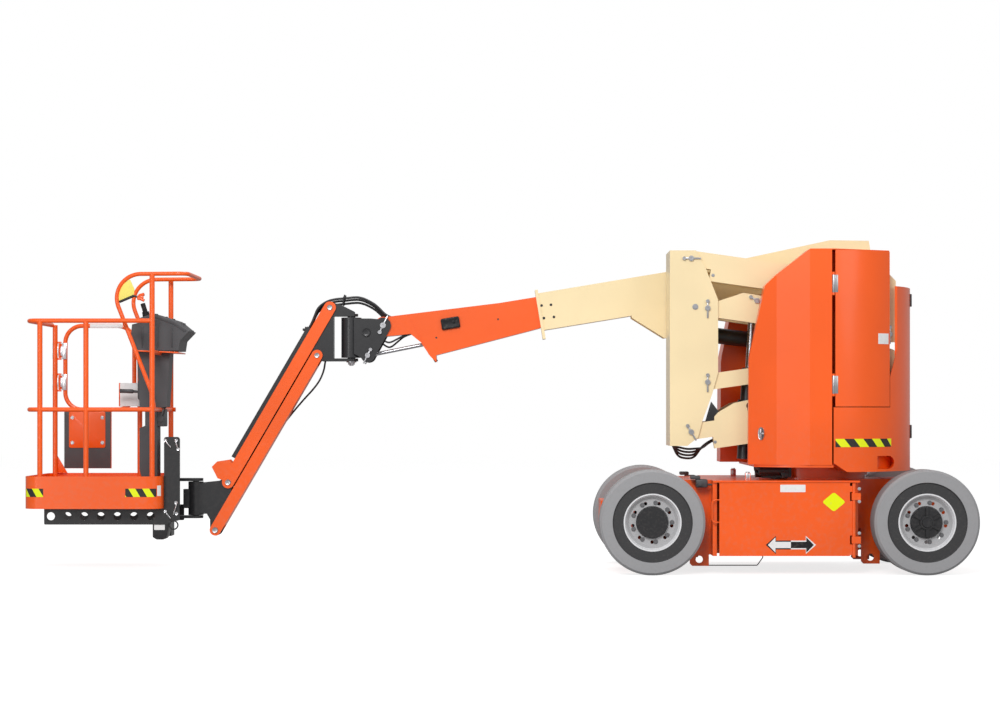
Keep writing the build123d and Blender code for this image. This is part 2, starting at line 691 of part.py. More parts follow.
def along(p, q, distance, offset):
    """Side-view point at a distance from p towards q, and an offset square to that line."""
    span = hypot(q[0] - p[0], q[1] - p[1])
    ux, uz = (q[0] - p[0]) / span, (q[1] - p[1]) / span
    return (p[0] + ux * distance - uz * offset, p[1] + uz * distance + ux * offset)


with BuildPart() as lower_arm:
    tower_link(d_front, d_rear)
    for y0, y1 in ((arm_y[0], arm_y[0] + gusset_t), (arm_y[1] - gusset_t, arm_y[1])):
        slab([along(d_front, d_rear, s, h) for s, h in
              ((150, 40), (155, 72), (180, 94), (285, 138), (375, 144), (450, 130), (560, 40))],
             y0, y1)
        disc(cyl_low, pin_r + pin_play, y0 - 1, y1 + 1, mode=Mode.SUBTRACT)
    y0, y1 = rails_y[0]
    strut(along(d_front, d_rear, 130, -rail_h / 2 - tray_h / 2),
          along(d_front, d_rear, 900, -rail_h / 2 - tray_h / 2), tray_h / 2, y0, y1)
    strut(along(d_front, d_rear, 130, -rail_h / 2 - tray_h / 2),
          along(d_front, d_rear, 900, -rail_h / 2 - tray_h / 2), tray_h / 2 - 4, y0 + 4, y1 - 4,
          Mode.SUBTRACT)
    bore(d_front, pin_r, *arm_y)
    bore(d_rear, pin_r, *arm_y)
finish(lower_arm, "tower_lower_arm")

with BuildPart() as lower_link:
    tower_link(c_front, c_rear)
    bore(c_front, pin_r, *arm_y)
    bore(c_rear, pin_r, *arm_y)
finish(lower_link, "tower_lower_link")

with BuildPart() as upper_arm:
    tower_link(b_front, b_rear)
    for y0, y1 in ((arm_y[0], arm_y[0] + gusset_t), (arm_y[1] - gusset_t, arm_y[1])):
        slab([along(b_front, b_rear, s, h) for s, h in
              ((50, 40), (52, 49), (205, 125), (310, 123), (420, 49), (420, 40))], y0, y1)
    bore(b_front, pin_r, *arm_y)
    bore(b_rear, pin_r, *arm_y)
finish(upper_arm, "tower_upper_arm")

with BuildPart() as upper_link:
    tower_link(a_front, a_rear)
    y0, y1 = rails_y[0]
    strut(along(a_front, a_rear, 130, -rail_h / 2 - tray_h / 2),
          along(a_front, a_rear, 900, -rail_h / 2 - tray_h / 2), tray_h / 2, y0, y1)
    strut(along(a_front, a_rear, 130, -rail_h / 2 - tray_h / 2),
          along(a_front, a_rear, 900, -rail_h / 2 - tray_h / 2), tray_h / 2 - 4, y0 + 4, y1 - 4,
          Mode.SUBTRACT)
    bore(a_front, pin_r, *arm_y)
    bore(a_rear, pin_r, *arm_y)
finish(upper_link, "tower_upper_link")

mid_x0 = d_front[0] - 130.0
mid_z = (d_front[1] - 86.0, a_front[1] + 49.0)
with BuildPart() as mid_upright:
    for y0, y1 in upright_y:
        slab([(mid_x0, mid_z[1]), (a_front[0] + 29, mid_z[1]), (a_front[0] + 89, mid_z[1] - 110),
              (b_front[0] + 64, b_front[1] + 52), (c_front[0] + 64, c_front[1] + 58),
              (c_front[0] + 28, c_front[1] - 74), (d_front[0] + 68, d_front[1] + 64),
              (d_front[0] + 43, d_front[1] - 33), (d_front[0] - 23, mid_z[0]),
              (mid_x0, mid_z[0])], y0, y1)
    block(mid_x0, mid_x0 + 10, tower_y0, tower_y1, *mid_z)
    for pin in (a_front, b_front, c_front, d_front):
        disc(pin, pin_r, tower_y0, tower_y1)
finish(mid_upright, "tower_mid_upright")

clevis_y = ((tower_y1, boom_y - boom_w / 2 - side_play * 2),
            (boom_y + boom_w / 2 + side_play * 2, boom_y + boom_w / 2 + side_play * 2 + clevis_t))
upright_x1 = b_rear[0] + boss_r - 4
with BuildPart() as rear_upright:
    for y0, y1 in upright_y:
        slab([(b_rear[0] - 45, b_rear[1] - 50), (upright_x1, b_rear[1] - 50),
              (upright_x1, a_rear[1] + 20), (b_rear[0] - 3, a_rear[1] + 63),
              (a_rear[0] - boss_r, a_rear[1] + 63), (a_rear[0] - boss_r, a_rear[1] - 35)], y0, y1)
    for y0, y1 in clevis_y:
        slab([(boom_pin[0] - 60, boom_pin[1]), (boom_pin[0] + 60, boom_pin[1]),
              (b_rear[0] - 3, a_rear[1] + 63), (b_rear[0] + 17, lift_base[1] + 50),
              (lift_base[0] + 45, lift_base[1]), (lift_base[0] - 45, lift_base[1]),
              (boom_pin[0] - 10, lift_base[1] + 90), (boom_pin[0] - 55, a_rear[1] + 35)], y0, y1)
        disc(boom_pin, 60, y0, y1)
        disc(lift_base, 45, y0, y1)
    disc(boom_pin, boom_pin_r, clevis_y[0][0], clevis_y[1][1])
    disc(lift_base, 25, clevis_y[0][0], clevis_y[1][1])
    disc((b_rear[0] - 33, a_rear[1] - 115), 30, clevis_y[0][0], clevis_y[1][1])
    for pin in (a_rear, b_rear):
        disc(pin, pin_r, tower_y0, tower_y1)
    block(upright_x1 - 10, upright_x1, tower_y0, tower_y1,
          b_rear[1] + 60, a_rear[1] - 20)
finish(rear_upright, "tower_rear_upright")

# tower lift cylinder: the barrel hangs by two stub pins between the lower arm's gussets
tower_barrel_r = 45.0
tower_rod_r = 25.0
barrel_below = 330.0
barrel_above = 235.0
collar_r = 60.0
with BuildPart() as tower_barrel:
    round_bar(cyl_low, cyl_high, tower_cyl_y, tower_barrel_r, -barrel_below, barrel_above)
    round_bar(cyl_low, cyl_high, tower_cyl_y, collar_r, -35, 35)
    disc(cyl_low, pin_r, *arm_y)
    round_bar(cyl_low, cyl_high, tower_cyl_y, tower_rod_r + pin_play, -barrel_below + 25,
              barrel_above + 1, Mode.SUBTRACT)
finish(tower_barrel, "tower_cylinder_barrel")
tower_span = hypot(cyl_high[0] - cyl_low[0], cyl_high[1] - cyl_low[1])
with BuildPart() as tower_rod:
    round_bar(cyl_low, cyl_high, tower_cyl_y, tower_rod_r, -barrel_below + 30, tower_span - 5)
    disc(cyl_high, 30, rails_y[0][1] + 5, rails_y[1][0] - 5)
finish(tower_rod, "tower_cylinder_rod")

# ---------------------------------------------------------------- boom
boom_y0 = boom_y - boom_w / 2
pad = 0.4
lift_lug = [                 # along the boom from the lift eye, above the boom's middle line
    (250, -110), (250, -131), (69, -289), (-48, -296), (-118, -250), (-238, -110),
]
with BuildPart() as main_boom:
    with BuildSketch(boom_frame(boom_y0)):
        with BuildLine():
            Polyline((-63, boom_half_h - 10), (180, boom_half_h + 33), (760, boom_half_h + 4),
                     (boom_len, boom_half_h), (boom_len, -boom_half_h), (-40, -boom_half_h),
                     (-63, -boom_half_h + 25), close=True)
        make_face()
    extrude(amount=boom_w)
    with BuildSketch(boom_frame(boom_y0 + boom_wall)):
        with Locations(((boom_len + 200) / 2 + 30, 0)):
            Rectangle(boom_len - 200 + 60, 2 * (boom_half_h - boom_wall))
    extrude(amount=boom_w - 2 * boom_wall, mode=Mode.SUBTRACT)
    with BuildSketch(boom_frame(boom_y - boom_w / 2 - 8)):
        with Locations((boom_len - 9, -16)):
            Rectangle(18, 312)
    extrude(amount=boom_w + 16)
    with BuildSketch(boom_frame(boom_y0 + 1)):
        with Locations((boom_len - 35, 0)):
            Rectangle(70, 2 * boom_half_h - 2)
    extrude(amount=boom_w - 2)
    with BuildSketch(boom_frame(boom_y - fly_w / 2 - pad)):
        with Locations((boom_len - 30, 0)):
            Rectangle(90, 2 * (fly_half_h + pad))
    extrude(amount=fly_w + 2 * pad, mode=Mode.SUBTRACT)
    for y in (boom_y0, boom_y0 + boom_w - 12):
        with BuildSketch(boom_frame(y)):
            with BuildLine():
                Polyline(*[(lift_eye[0] + along_boom, above) for along_boom, above in lift_lug], close=True)
            make_face()
        extrude(amount=12)
    bore(boom_pin, boom_pin_r, boom_y0 - 1, boom_y0 + boom_w + 1)
finish(main_boom, "boom_main")

fly_start = 0.37 * boom_len
head_start = boom_len + 4.0
fly_end = tip_along - 281.0
fly_head = [                 # along the boom from the tip pin, above the boom's middle line
    (-51, 125), (0, 125), (0, 6), (-161, -5), (-217, -68), (-261, -164), (-294, -207), (-299, -163),
]
head_start_hollow = head_start + 114.0
fly_hollow = [(-341, 96), (-241, -45), (-141, -45), (-141, -140), (-296, -150)]
with BuildPart() as fly_boom:
    with BuildSketch(boom_frame(boom_y - fly_w / 2)):
        with Locations(((fly_start + fly_end) / 2, 0)):
            Rectangle(fly_end - fly_start, 2 * fly_half_h)
        with BuildLine():
            Polyline((head_start, 88), *[(tip_along + dx, dz) for dx, dz in fly_head],
                     (head_start + 60, -106), (head_start, -100), close=True)
        make_face()
    extrude(amount=fly_w)
    with BuildSketch(boom_frame(boom_y - fly_w / 2 + fly_wall)):
        with Locations(((fly_start + head_start_hollow) / 2, 0)):
            Rectangle(head_start_hollow - fly_start + 40, 2 * (fly_half_h - fly_wall))
        with BuildLine():
            Polyline((head_start_hollow, 82), *[(tip_along + dx, dz) for dx, dz in fly_hollow],
                     (head_start_hollow, -98), close=True)
        make_face()
    extrude(amount=fly_w - 2 * fly_wall, mode=Mode.SUBTRACT)
    disc(tip, 55, boom_y - fly_w / 2, boom_y + fly_w / 2)
    disc(level_base, level_pin_r, boom_y - fly_w / 2, boom_y + fly_w / 2)
    bore(tip, pin_r, boom_y - fly_w / 2 - 1, boom_y + fly_w / 2 + 1)
finish(fly_boom, "boom_fly")

lift_pin = boom_point(*lift_eye)
lift_span = hypot(lift_pin[0] - lift_base[0], lift_pin[1] - lift_base[1])
clear_eye = boom_w / 2 - 12 - eye_play
with BuildPart() as lift_barrel:
    round_bar(lift_base, lift_pin, boom_y, lift_barrel_r, 40, lift_span - 75)
    disc(lift_base, 44, boom_y - 55, boom_y + 55)
    bore(lift_base, 25, boom_y - 60, boom_y + 60)
    round_bar(lift_base, lift_pin, boom_y, lift_rod_r + pin_play, 90, lift_span, Mode.SUBTRACT)
finish(lift_barrel, "lift_cylinder_barrel")
with BuildPart() as lift_rod:
    round_bar(lift_base, lift_pin, boom_y, lift_rod_r, 95, lift_span - 5)
    disc(lift_pin, 36, boom_y - clear_eye, boom_y + clear_eye)
finish(lift_rod, "lift_cylinder_rod")

# ---------------------------------------------------------------- tip bracket and jib
level_pin = (tip[0] - 97.0, tip[1] - 188.0)
ears = ((boom_y - fly_w / 2 - side_play - ear_t, boom_y - fly_w / 2 - side_play),
        (boom_y + fly_w / 2 + side_play, boom_y + fly_w / 2 + side_play + ear_t))
with BuildPart() as tip_bracket:
    for y0, y1 in ears:
        slab([(rotator_x + 22, tip[1] + 44), (tip[0] - 78, tip[1] + 44), (tip[0] - 30, tip[1] + 40),
              (tip[0] + 40, tip[1] - 30), (level_pin[0] + 42, level_pin[1] - 14),
              (level_pin[0], level_pin[1] - 42), (level_pin[0] - 42, level_pin[1] - 14),
              (rotator_x + 22, level_pin[1] + 10)], y0, y1)
        disc(tip, 50, y0, y1)
        disc(level_pin, 44, y0, y1)
    disc(tip, pin_r, ears[0][0], ears[1][1])
    block(rotator_x + 22, rotator_x + 40, ears[0][0], ears[1][1], level_pin[1] + 80, tip[1] + 44)
    with Locations((rotator_x, boom_y, sum(rotator_z) / 2)):
        Cylinder(rotator_r, rotator_z[1] - rotator_z[0])
        Cylinder(25 + pin_play, 400, mode=Mode.SUBTRACT)
finish(tip_bracket, "tip_bracket")

level_span = hypot(level_pin[0] - level_base[0], level_pin[1] - level_base[1])
with BuildPart() as level_barrel:
    round_bar(level_base, level_pin, boom_y, level_barrel_r, 20, level_span - 400)
    disc(level_base, 28, boom_y - 30, boom_y + 30)
    bore(level_base, level_pin_r, boom_y - 40, boom_y + 40)
    round_bar(level_base, level_pin, boom_y, level_rod_r + pin_play, 60, level_span, Mode.SUBTRACT)
finish(level_barrel, "level_cylinder_barrel")
with BuildPart() as level_rod:
    round_bar(level_base, level_pin, boom_y, level_rod_r, 335, level_span - 5)
    disc(level_pin, 24, ears[0][1] + eye_play, ears[1][0] - eye_play)
finish(level_rod, "level_cylinder_rod")

plates_y = ((boom_y - jib_plate[1], boom_y - jib_plate[0]),
            (boom_y + jib_plate[0], boom_y + jib_plate[1]))
top_arm_z = rotator_z[1] + 8.0
foot_z = (rotator_z[0] - 23.0, rotator_z[0] - 5.0)
base_right = rotator_x - 110.0
with BuildPart() as jib_base:
    for y0, y1 in plates_y:
        slab([(jib_top[0] - 36, jib_top[1] - 10), (jib_top[0], jib_top[1] + 34),
              (jib_top[0] + 60, jib_top[1] + 22), (rotator_x + 20, top_arm_z + 30),
              (rotator_x + 20, top_arm_z), (base_right, top_arm_z), (base_right, foot_z[0]),
              (jib_foot[0] + 30, foot_z[0]), (jib_foot[0] - 36, jib_foot[1])], y0, y1)
        disc(jib_top, 36, y0, y1)
        disc(jib_foot, 38, y0, y1)
    block(base_right - 20, rotator_x, boom_y - jib_plate[1], boom_y + jib_plate[1],
          top_arm_z, top_arm_z + 16)
    block(base_right - 20, rotator_x, boom_y - jib_plate[1], boom_y + jib_plate[1], *foot_z)
    block(base_right - 12, base_right, boom_y - jib_plate[1], boom_y + jib_plate[1],
          foot_z[0], top_arm_z + 16)
    with Locations((rotator_x, boom_y, top_arm_z + 8)):
        Cylinder(jib_plate[1], 16.0)
    with Locations((rotator_x, boom_y, sum(foot_z) / 2)):
        Cylinder(jib_plate[1], foot_z[1] - foot_z[0])
    with Locations((rotator_x, boom_y, (foot_z[0] + top_arm_z) / 2)):
        Cylinder(25.0, top_arm_z - foot_z[0])
    for pin in (jib_top, jib_foot):
        disc(pin, jib_pin_r, boom_y - jib_half_w, boom_y + jib_half_w)
finish(jib_base, "jib_base")

walls_y = ((boom_y - jib_half_w, boom_y - jib_half_w + jib_wall),
           (boom_y + jib_half_w - jib_wall, boom_y + jib_half_w))
with BuildPart() as jib_arm:
    for y0, y1 in walls_y:
        strut(jib_top, jib_low, jib_arm_h, y0, y1)
        disc(jib_top, jib_arm_h, y0, y1)
        disc(jib_low, jib_arm_h, y0, y1)
        slab([(jib_low[0] - 66, jib_low[1] + 25), (jib_low[0] - 103, jib_low[1] + 97),
              (jib_low[0] - 69, jib_low[1] + 131), (jib_low[0] + 5, jib_low[1] + 142),
              (jib_low[0] + 45, jib_low[1] + 100), (jib_low[0], jib_low[1])], y0, y1)
        for pin in (jib_top, jib_low):
            bore(pin, jib_pin_r, y0 - 1, y1 + 1)
    outer = jib_arm_h - 3
    strut(along(jib_top, jib_low, 80, -outer), along(jib_top, jib_low, 1150, -outer), 3, *(
        boom_y - jib_half_w + jib_wall, boom_y + jib_half_w - jib_wall))
finish(jib_arm, "jib_arm")

with BuildPart() as jib_link:
    for y0, y1 in walls_y:
        strut(jib_foot, jib_tail, jib_link_h, y0, y1)
        disc(jib_foot, jib_link_h, y0, y1)
        disc(jib_tail, jib_link_h, y0, y1)
        for pin in (jib_foot, jib_tail):
            bore(pin, jib_pin_r, y0 - 1, y1 + 1)
    outer = jib_link_h - 3
    strut(along(jib_foot, jib_tail, 55, outer), along(jib_foot, jib_tail, 1220, outer), 3, *(
        boom_y - jib_half_w + jib_wall, boom_y + jib_half_w - jib_wall))
finish(jib_link, "jib_link")

tray_t = 27.0
with BuildPart() as hose_tray:
    mid = jib_arm_h + tray_t / 2
    strut(along(jib_top, jib_low, 175, -mid), along(jib_top, jib_low, 1125, -mid), tray_t / 2,
          boom_y - 40, boom_y + 40)
    strut(along(jib_top, jib_low, 175, -mid), along(jib_top, jib_low, 1125, -mid), tray_t / 2 - 3,
          boom_y - 37, boom_y + 37, Mode.SUBTRACT)
finish(hose_tray, "jib_hose_tray")

jib_span = hypot(jib_low[0] - jib_foot[0], jib_low[1] - jib_foot[1])
eye_half = jib_plate[0] - eye_play
with BuildPart() as jib_barrel:
    round_bar(jib_foot, jib_low, boom_y, 26, 25, jib_span - 70)
    disc(jib_foot, 28, boom_y - eye_half, boom_y + eye_half)
    bore(jib_foot, jib_pin_r, boom_y - 40, boom_y + 40)
    round_bar(jib_foot, jib_low, boom_y, 15 + pin_play, 45, jib_span, Mode.SUBTRACT)
finish(jib_barrel, "jib_cylinder_barrel")
with BuildPart() as jib_rod:
    round_bar(jib_foot, jib_low, boom_y, 15, 50, jib_span - 5)
    disc(jib_low, 26, boom_y - eye_half, boom_y + eye_half)
finish(jib_rod, "jib_cylinder_rod")

with BuildPart() as jib_end:
    for y0, y1 in plates_y:
        slab([(jib_axis_x + 40, jib_rot_z[1] - 6), (jib_low[0] - 60, jib_low[1] + 8),
              (jib_low[0] - 5, jib_low[1] + 34), (jib_low[0] + 28, jib_low[1] - 12),
              (jib_tail[0] + 36, jib_tail[1] - 10), (jib_tail[0] - 34, jib_tail[1] - 5),
              (jib_tail[0] - 34, jib_tail[1] + 66), (jib_axis_x + 74, jib_rot_z[0] + 8),
              (jib_axis_x + 40, jib_rot_z[0] + 8)], y0, y1)
        disc(jib_low, 34, y0, y1)
        disc(jib_tail, 36, y0, y1)
    block(jib_axis_x, jib_axis_x + 70, boom_y - jib_plate[1], boom_y + jib_plate[1],
          jib_rot_z[0] + 10, jib_rot_z[1] - 10)
    with Locations((jib_axis_x, boom_y, sum(jib_rot_z) / 2)):
        Cylinder(jib_rot_r, jib_rot_z[1] - jib_rot_z[0])
        Cylinder(20 + pin_play, 400, mode=Mode.SUBTRACT)
    for pin in (jib_low, jib_tail):
        for y0, y1 in ((boom_y - jib_half_w, boom_y - jib_plate[0]),
                       (boom_y + jib_plate[0], boom_y + jib_half_w)):
            disc(pin, jib_pin_r, y0, y1)
    block(jib_axis_x - 76, jib_axis_x - 30, boom_y - 30, boom_y + 30, 374, 494)
    with Locations((jib_axis_x, boom_y, sum(jib_rot_z) / 2)):
        Cylinder(20 + pin_play, 400, mode=Mode.SUBTRACT)
finish(jib_end, "jib_end")

# ---------------------------------------------------------------- platform
platform_x1 = platform_x0 + platform_len
platform_y0 = boom_y - platform_w / 2
platform_y1 = boom_y + platform_w / 2
support_x = platform_x1 + 2.0
support_z = (307.0, 827.0)
beam_ys = (platform_y0 + 109.0, platform_y1 - 121.0)
hole_pitch = 103.3
with BuildPart() as support:
    slab([(support_x, support_z[0]), (support_x + 96, support_z[0]),
          (support_x + 96, support_z[1]), (support_x, support_z[1])],
         beam_ys[0], beam_ys[0] + 12, radius=14)
    for y in beam_ys:
        slab([(platform_x0 + 108, platform_z0 - 102), (support_x + 40, platform_z0 - 102),
              (support_x + 40, platform_z0), (platform_x0 + 108, platform_z0)], y, y + 6, radius=8)
        for i in range(7):
            disc((platform_x0 + 150 + i * hole_pitch, platform_z0 - 50), 25, y - 1, y + 7,
                 mode=Mode.SUBTRACT)
    block(support_x, support_x + 12, beam_ys[0], beam_ys[1] + 12, support_z[0] + 20,
          support_z[1] - 20)
    tongue = (jib_rot_z[1] + 4, jib_rot_z[1] + 22)
    foot = (jib_rot_z[0] - 20, jib_rot_z[0] - 4)
    for z0, z1 in (tongue, foot):
        block(support_x + 10, jib_axis_x, boom_y - 46, boom_y + 46, z0, z1)
        with Locations((jib_axis_x, boom_y, (z0 + z1) / 2)):
            Cylinder(46.0, z1 - z0)
    with Locations((jib_axis_x, boom_y, (foot[0] + tongue[1]) / 2)):
        Cylinder(20.0, tongue[1] - foot[0])
    block(support_x - 70, support_x + 10, boom_y - 60, boom_y + 60, 200, support_z[0] + 22)
finish(support, "platform_support")

middle_x = (platform_x0 + platform_x1) / 2
with BuildPart() as tray:
    with BuildSketch(Plane.XY.offset(platform_z0)):
        with Locations((middle_x, boom_y)):
            RectangleRounded(platform_len, platform_w, corner_r)
    extrude(amount=kick_h)
    with BuildSketch(Plane.XY.offset(platform_z0 + floor_t)):
        with Locations((middle_x, boom_y)):
            RectangleRounded(platform_len - 2 * kick_t, platform_w - 2 * kick_t, corner_r - kick_t)
    extrude(amount=kick_h, mode=Mode.SUBTRACT)
finish(tray, "platform_tray")

rail_x0 = platform_x0 + rail_inset[0]
rail_y0 = platform_y0 + rail_inset[1]
rail_y1 = platform_y1 - rail_inset[1]
tall_x = platform_x1 - 58.0
guard_y = (rail_y0 + 70.0, rail_y1 - 70.0)
latch_x = platform_x0 + 590.0
gate_axis_x = rail_x0 + 48.0
guard_top_z = 1832.0
cross_rail_zs = (mid_rail_z, 1352.0)
hinge_zs = (1173.0, 1379.0)
gate_pin_r = 5.0
posts = [                    # X, Y, top
    (rail_x0 + 78, rail_y0, top_rail_z), (rail_x0 + 362, rail_y0, top_rail_z),
    (tall_x, rail_y0, guard_top_z), (tall_x, rail_y1, guard_top_z),
    (latch_x, rail_y1, top_rail_z), (rail_x0 + 20, rail_y1 - 11, top_rail_z),
]


def tube(points, r, radius):
    """Bent tube along a route, its bends to one radius or to a list of radii."""
    with BuildLine() as route:
        FilletPolyline(*points, radius=radius)
    with BuildSketch(Plane(origin=route.line @ 0, z_dir=route.line % 0)) as section:
        Circle(r)
    sweep(section.sketch, path=route.line)


with BuildPart() as rails:
    for x, y, top in posts:
        with Locations((x, y, (platform_z0 + floor_t + top) / 2)):
            Cylinder(post_r, top - platform_z0 - floor_t)
    for z in (top_rail_z, mid_rail_z):
        tube([(tall_x, rail_y0, z), (rail_x0, rail_y0, z), (rail_x0, rail_y1 - 11, z)], rail_r, 70)
        with Locations(Location(((latch_x + tall_x + 30) / 2, rail_y1, z), (0, 90, 0))):
            Cylinder(rail_r, tall_x + 30 - latch_x)
    for z in cross_rail_zs:
        with Locations(Location((tall_x, boom_y, z), (90, 0, 0))):
            Cylinder(rail_r, rail_y1 - rail_y0)
    for z in hinge_zs:
        for low in (z - 59, z + 47):
            block(rail_x0 + 20, gate_axis_x + 9, rail_y1 - 9, rail_y1 + 9, low, low + 12)
        with Locations((gate_axis_x, rail_y1, z)):
            Cylinder(gate_pin_r + pin_play, 140.0, mode=Mode.SUBTRACT)
finish(rails, "platform_rails")

guard_shape = [              # X from the tall posts, Z
    (0, mid_rail_z), (-14, 1100), (-299, guard_top_z + 4), (205, guard_top_z + 8),
]
guard_bends = [90.0, 150.0, 60.0, 60.0, 150.0, 90.0]
with BuildPart() as guard:
    near = [(tall_x + dx, guard_y[0], z) for dx, z in guard_shape]
    far = [(tall_x + dx, guard_y[1], z) for dx, z in reversed(guard_shape)]
    tube(near + far, 13.0, guard_bends)
    with Locations(Location((tall_x, boom_y, mid_rail_z), (90, 0, 0))):
        Cylinder(rail_r, rail_y1 - rail_y0, mode=Mode.SUBTRACT)
finish(guard, "overhead_guard")

gate_r = 14.0
gate_seam_z = (mid_rail_z + top_rail_z) / 2
with BuildPart() as gate:
    gx0 = gate_axis_x + 36.0
    gx1 = latch_x - post_r - 20.0
    with BuildLine() as route:
        FilletPolyline((gx0, rail_y1, gate_seam_z), (gx0, rail_y1, top_rail_z - 4),
                       (gx1, rail_y1, top_rail_z - 4), (gx1, rail_y1, mid_rail_z),
                       (gx0, rail_y1, mid_rail_z), (gx0, rail_y1, gate_seam_z - 0.001), radius=110)
    with BuildSketch(Plane(origin=route.line @ 0, z_dir=route.line % 0)):
        Circle(gate_r)
    sweep()
    block(gx0, gx0 + 300, rail_y1 - 5, rail_y1 + 5, 615, mid_rail_z - 2)
    for z in hinge_zs:
        with Locations((gate_axis_x, rail_y1, z)):
            Cylinder(9.0, 90.0)
            Cylinder(gate_pin_r, 118.0)
        block(gate_axis_x, gx0, rail_y1 - 3, rail_y1 + 3, z - 45, z + 45)
finish(gate, "platform_gate")

with BuildPart() as console:
    slab([(tall_x - 144, 1366), (tall_x + 129, 1366), (tall_x + 139, 1430), (tall_x + 194, 1488),
          (tall_x + 164, 1508), (tall_x + 69, 1560), (tall_x - 6, 1583), (tall_x - 36, 1560),
          (tall_x - 161, 1530), (tall_x - 169, 1450)], boom_y - 150, boom_y + 150)
    slab([(tall_x - 147, 1366), (tall_x + 64, 1366), (tall_x + 42, 1014), (tall_x - 126, 985)],
         boom_y - 70, boom_y + 70)
    slab([(tall_x - 95, 985), (tall_x - 18, 985), (tall_x - 18, platform_z0 + floor_t),
          (tall_x - 75, platform_z0 + floor_t), (tall_x - 130, 620), (tall_x - 130, 880),
          (tall_x - 95, 895)], boom_y - 60, boom_y + 60)
    for z in cross_rail_zs:
        with Locations(Location((tall_x, boom_y, z), (90, 0, 0))):
            Cylinder(rail_r, rail_y1 - rail_y0, mode=Mode.SUBTRACT)
finish(console, "control_console")
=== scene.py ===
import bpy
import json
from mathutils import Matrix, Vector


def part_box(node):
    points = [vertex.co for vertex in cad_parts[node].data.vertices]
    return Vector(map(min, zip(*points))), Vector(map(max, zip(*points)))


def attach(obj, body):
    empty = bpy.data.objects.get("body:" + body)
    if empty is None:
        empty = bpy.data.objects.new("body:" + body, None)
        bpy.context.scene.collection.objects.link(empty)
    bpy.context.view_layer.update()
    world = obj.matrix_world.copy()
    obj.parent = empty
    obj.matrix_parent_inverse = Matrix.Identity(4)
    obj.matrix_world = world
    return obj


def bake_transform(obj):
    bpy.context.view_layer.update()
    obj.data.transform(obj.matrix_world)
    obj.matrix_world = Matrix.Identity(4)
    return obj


bl_info = {
    "name": "Articulating boom lift",
    "version": (1, 0, 0),
    "blender": (4, 5, 0),
    "location": "View3D > Sidebar > Boom lift",
    "description": "Dresses the boom lift's fixed frame with paint, rubber, hoses and small parts",
    "category": "Object",
}

import json
import math

import bmesh
import bpy
from mathutils import Matrix, Vector

# Places and sizes are in metres: X along the machine, Y across it with the near side
# negative, and Z up from the floor.
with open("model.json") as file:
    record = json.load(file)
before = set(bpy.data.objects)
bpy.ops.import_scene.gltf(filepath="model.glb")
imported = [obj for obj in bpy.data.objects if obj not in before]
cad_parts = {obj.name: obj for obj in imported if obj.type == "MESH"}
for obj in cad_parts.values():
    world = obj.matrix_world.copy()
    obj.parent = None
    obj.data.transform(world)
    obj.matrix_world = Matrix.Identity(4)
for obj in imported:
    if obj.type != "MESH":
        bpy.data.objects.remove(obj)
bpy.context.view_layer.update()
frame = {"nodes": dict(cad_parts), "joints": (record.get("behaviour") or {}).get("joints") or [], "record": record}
NODES = frame["nodes"]
JOINTS = {joint["name"]: joint for joint in frame["joints"]}
FINISH = {}
NEAR = (0, -1, 0)
DOWN = (0, 0, -1)
ALONG_X = (1, 0, 0)
SIDES = (("near", -1), ("far", 1))
# the frame's material slot for each finish that has one
SLOT = {
    "zinc": "chrome", "silver": "chrome", "nut_steel": "chrome", "orange": "orange",
    "black": "black", "decal_black": "black", "moulding": "black", "panel": "black",
    "hose": "black", "hood_stripes": "black", "tray_stripes": "black",
}


def joint_at(name):
    return Vector(JOINTS[name]["pos_m"])


WHEEL_Z = joint_at("wheel_rear_near").z
REAR_X = joint_at("wheel_rear_near").x
FRONT_X = joint_at("wheel_front_near").x
SLEW_X = joint_at("turntable_swing").x
TAIL_RADIUS = 0.610
SIDEWALL_R = 0.2405       # the dark sidewall ends here and the grey tread begins
HUB_R = 0.0985
DISC_R = 0.157            # the wheel disc ends here and the bright lip begins
NUT_CIRCLE = 0.119
NUTS = 9
STICKER = 0.0008          # thickness of a label or a stripe
HOSE_R = 0.0075
THIN_HOSE_R = 0.006


# ------------------------------------------------------------------ sizes and colours
def paint(name, description, default):
    return bpy.props.FloatVectorProperty(name=name, description=description, default=default,
                                         subtype="COLOR", size=3, min=0.0, max=1.0)


class PaintSettings(bpy.types.PropertyGroup):
    """Colours of the boom lift's finishes."""

    orange: paint("Orange paint", "Hoods, chassis, fly boom, jib, platform rails and tray",
                  (0.94, 0.110, 0.003))
    cream: paint("Cream paint", "Main boom and tower", (0.90, 0.735, 0.44))
    black: paint("Black paint", "Axles, cylinders, tip bracket, platform support, stripes",
                 (0.016, 0.016, 0.018))
    rubber: paint("Tyre rubber", "Non-marking grey tread", (0.315, 0.315, 0.325))
    rim: paint("Rim paint", "Wheel discs round their black hubs", (0.42, 0.42, 0.43))
    hazard: paint("Hazard yellow", "Striped tape and the diamond labels", (0.83, 0.93, 0.0))


class StageSettings(bpy.types.PropertyGroup):
    """Camera and light."""

    lens: bpy.props.FloatProperty(
        name="Lens", description="Camera focal length in millimetres", default=75.53, min=20.0)
    distance: bpy.props.FloatProperty(
        name="Distance", description="Camera distance from the machine's middle plane",
        default=13.2, unit="LENGTH")
    eye_height: bpy.props.FloatProperty(
        name="Eye height", description="Camera height above the floor", default=0.991,
        unit="LENGTH")
    eye_x: bpy.props.FloatProperty(
        name="Eye position", description="Camera position along the machine", default=0.1451,
        unit="LENGTH")


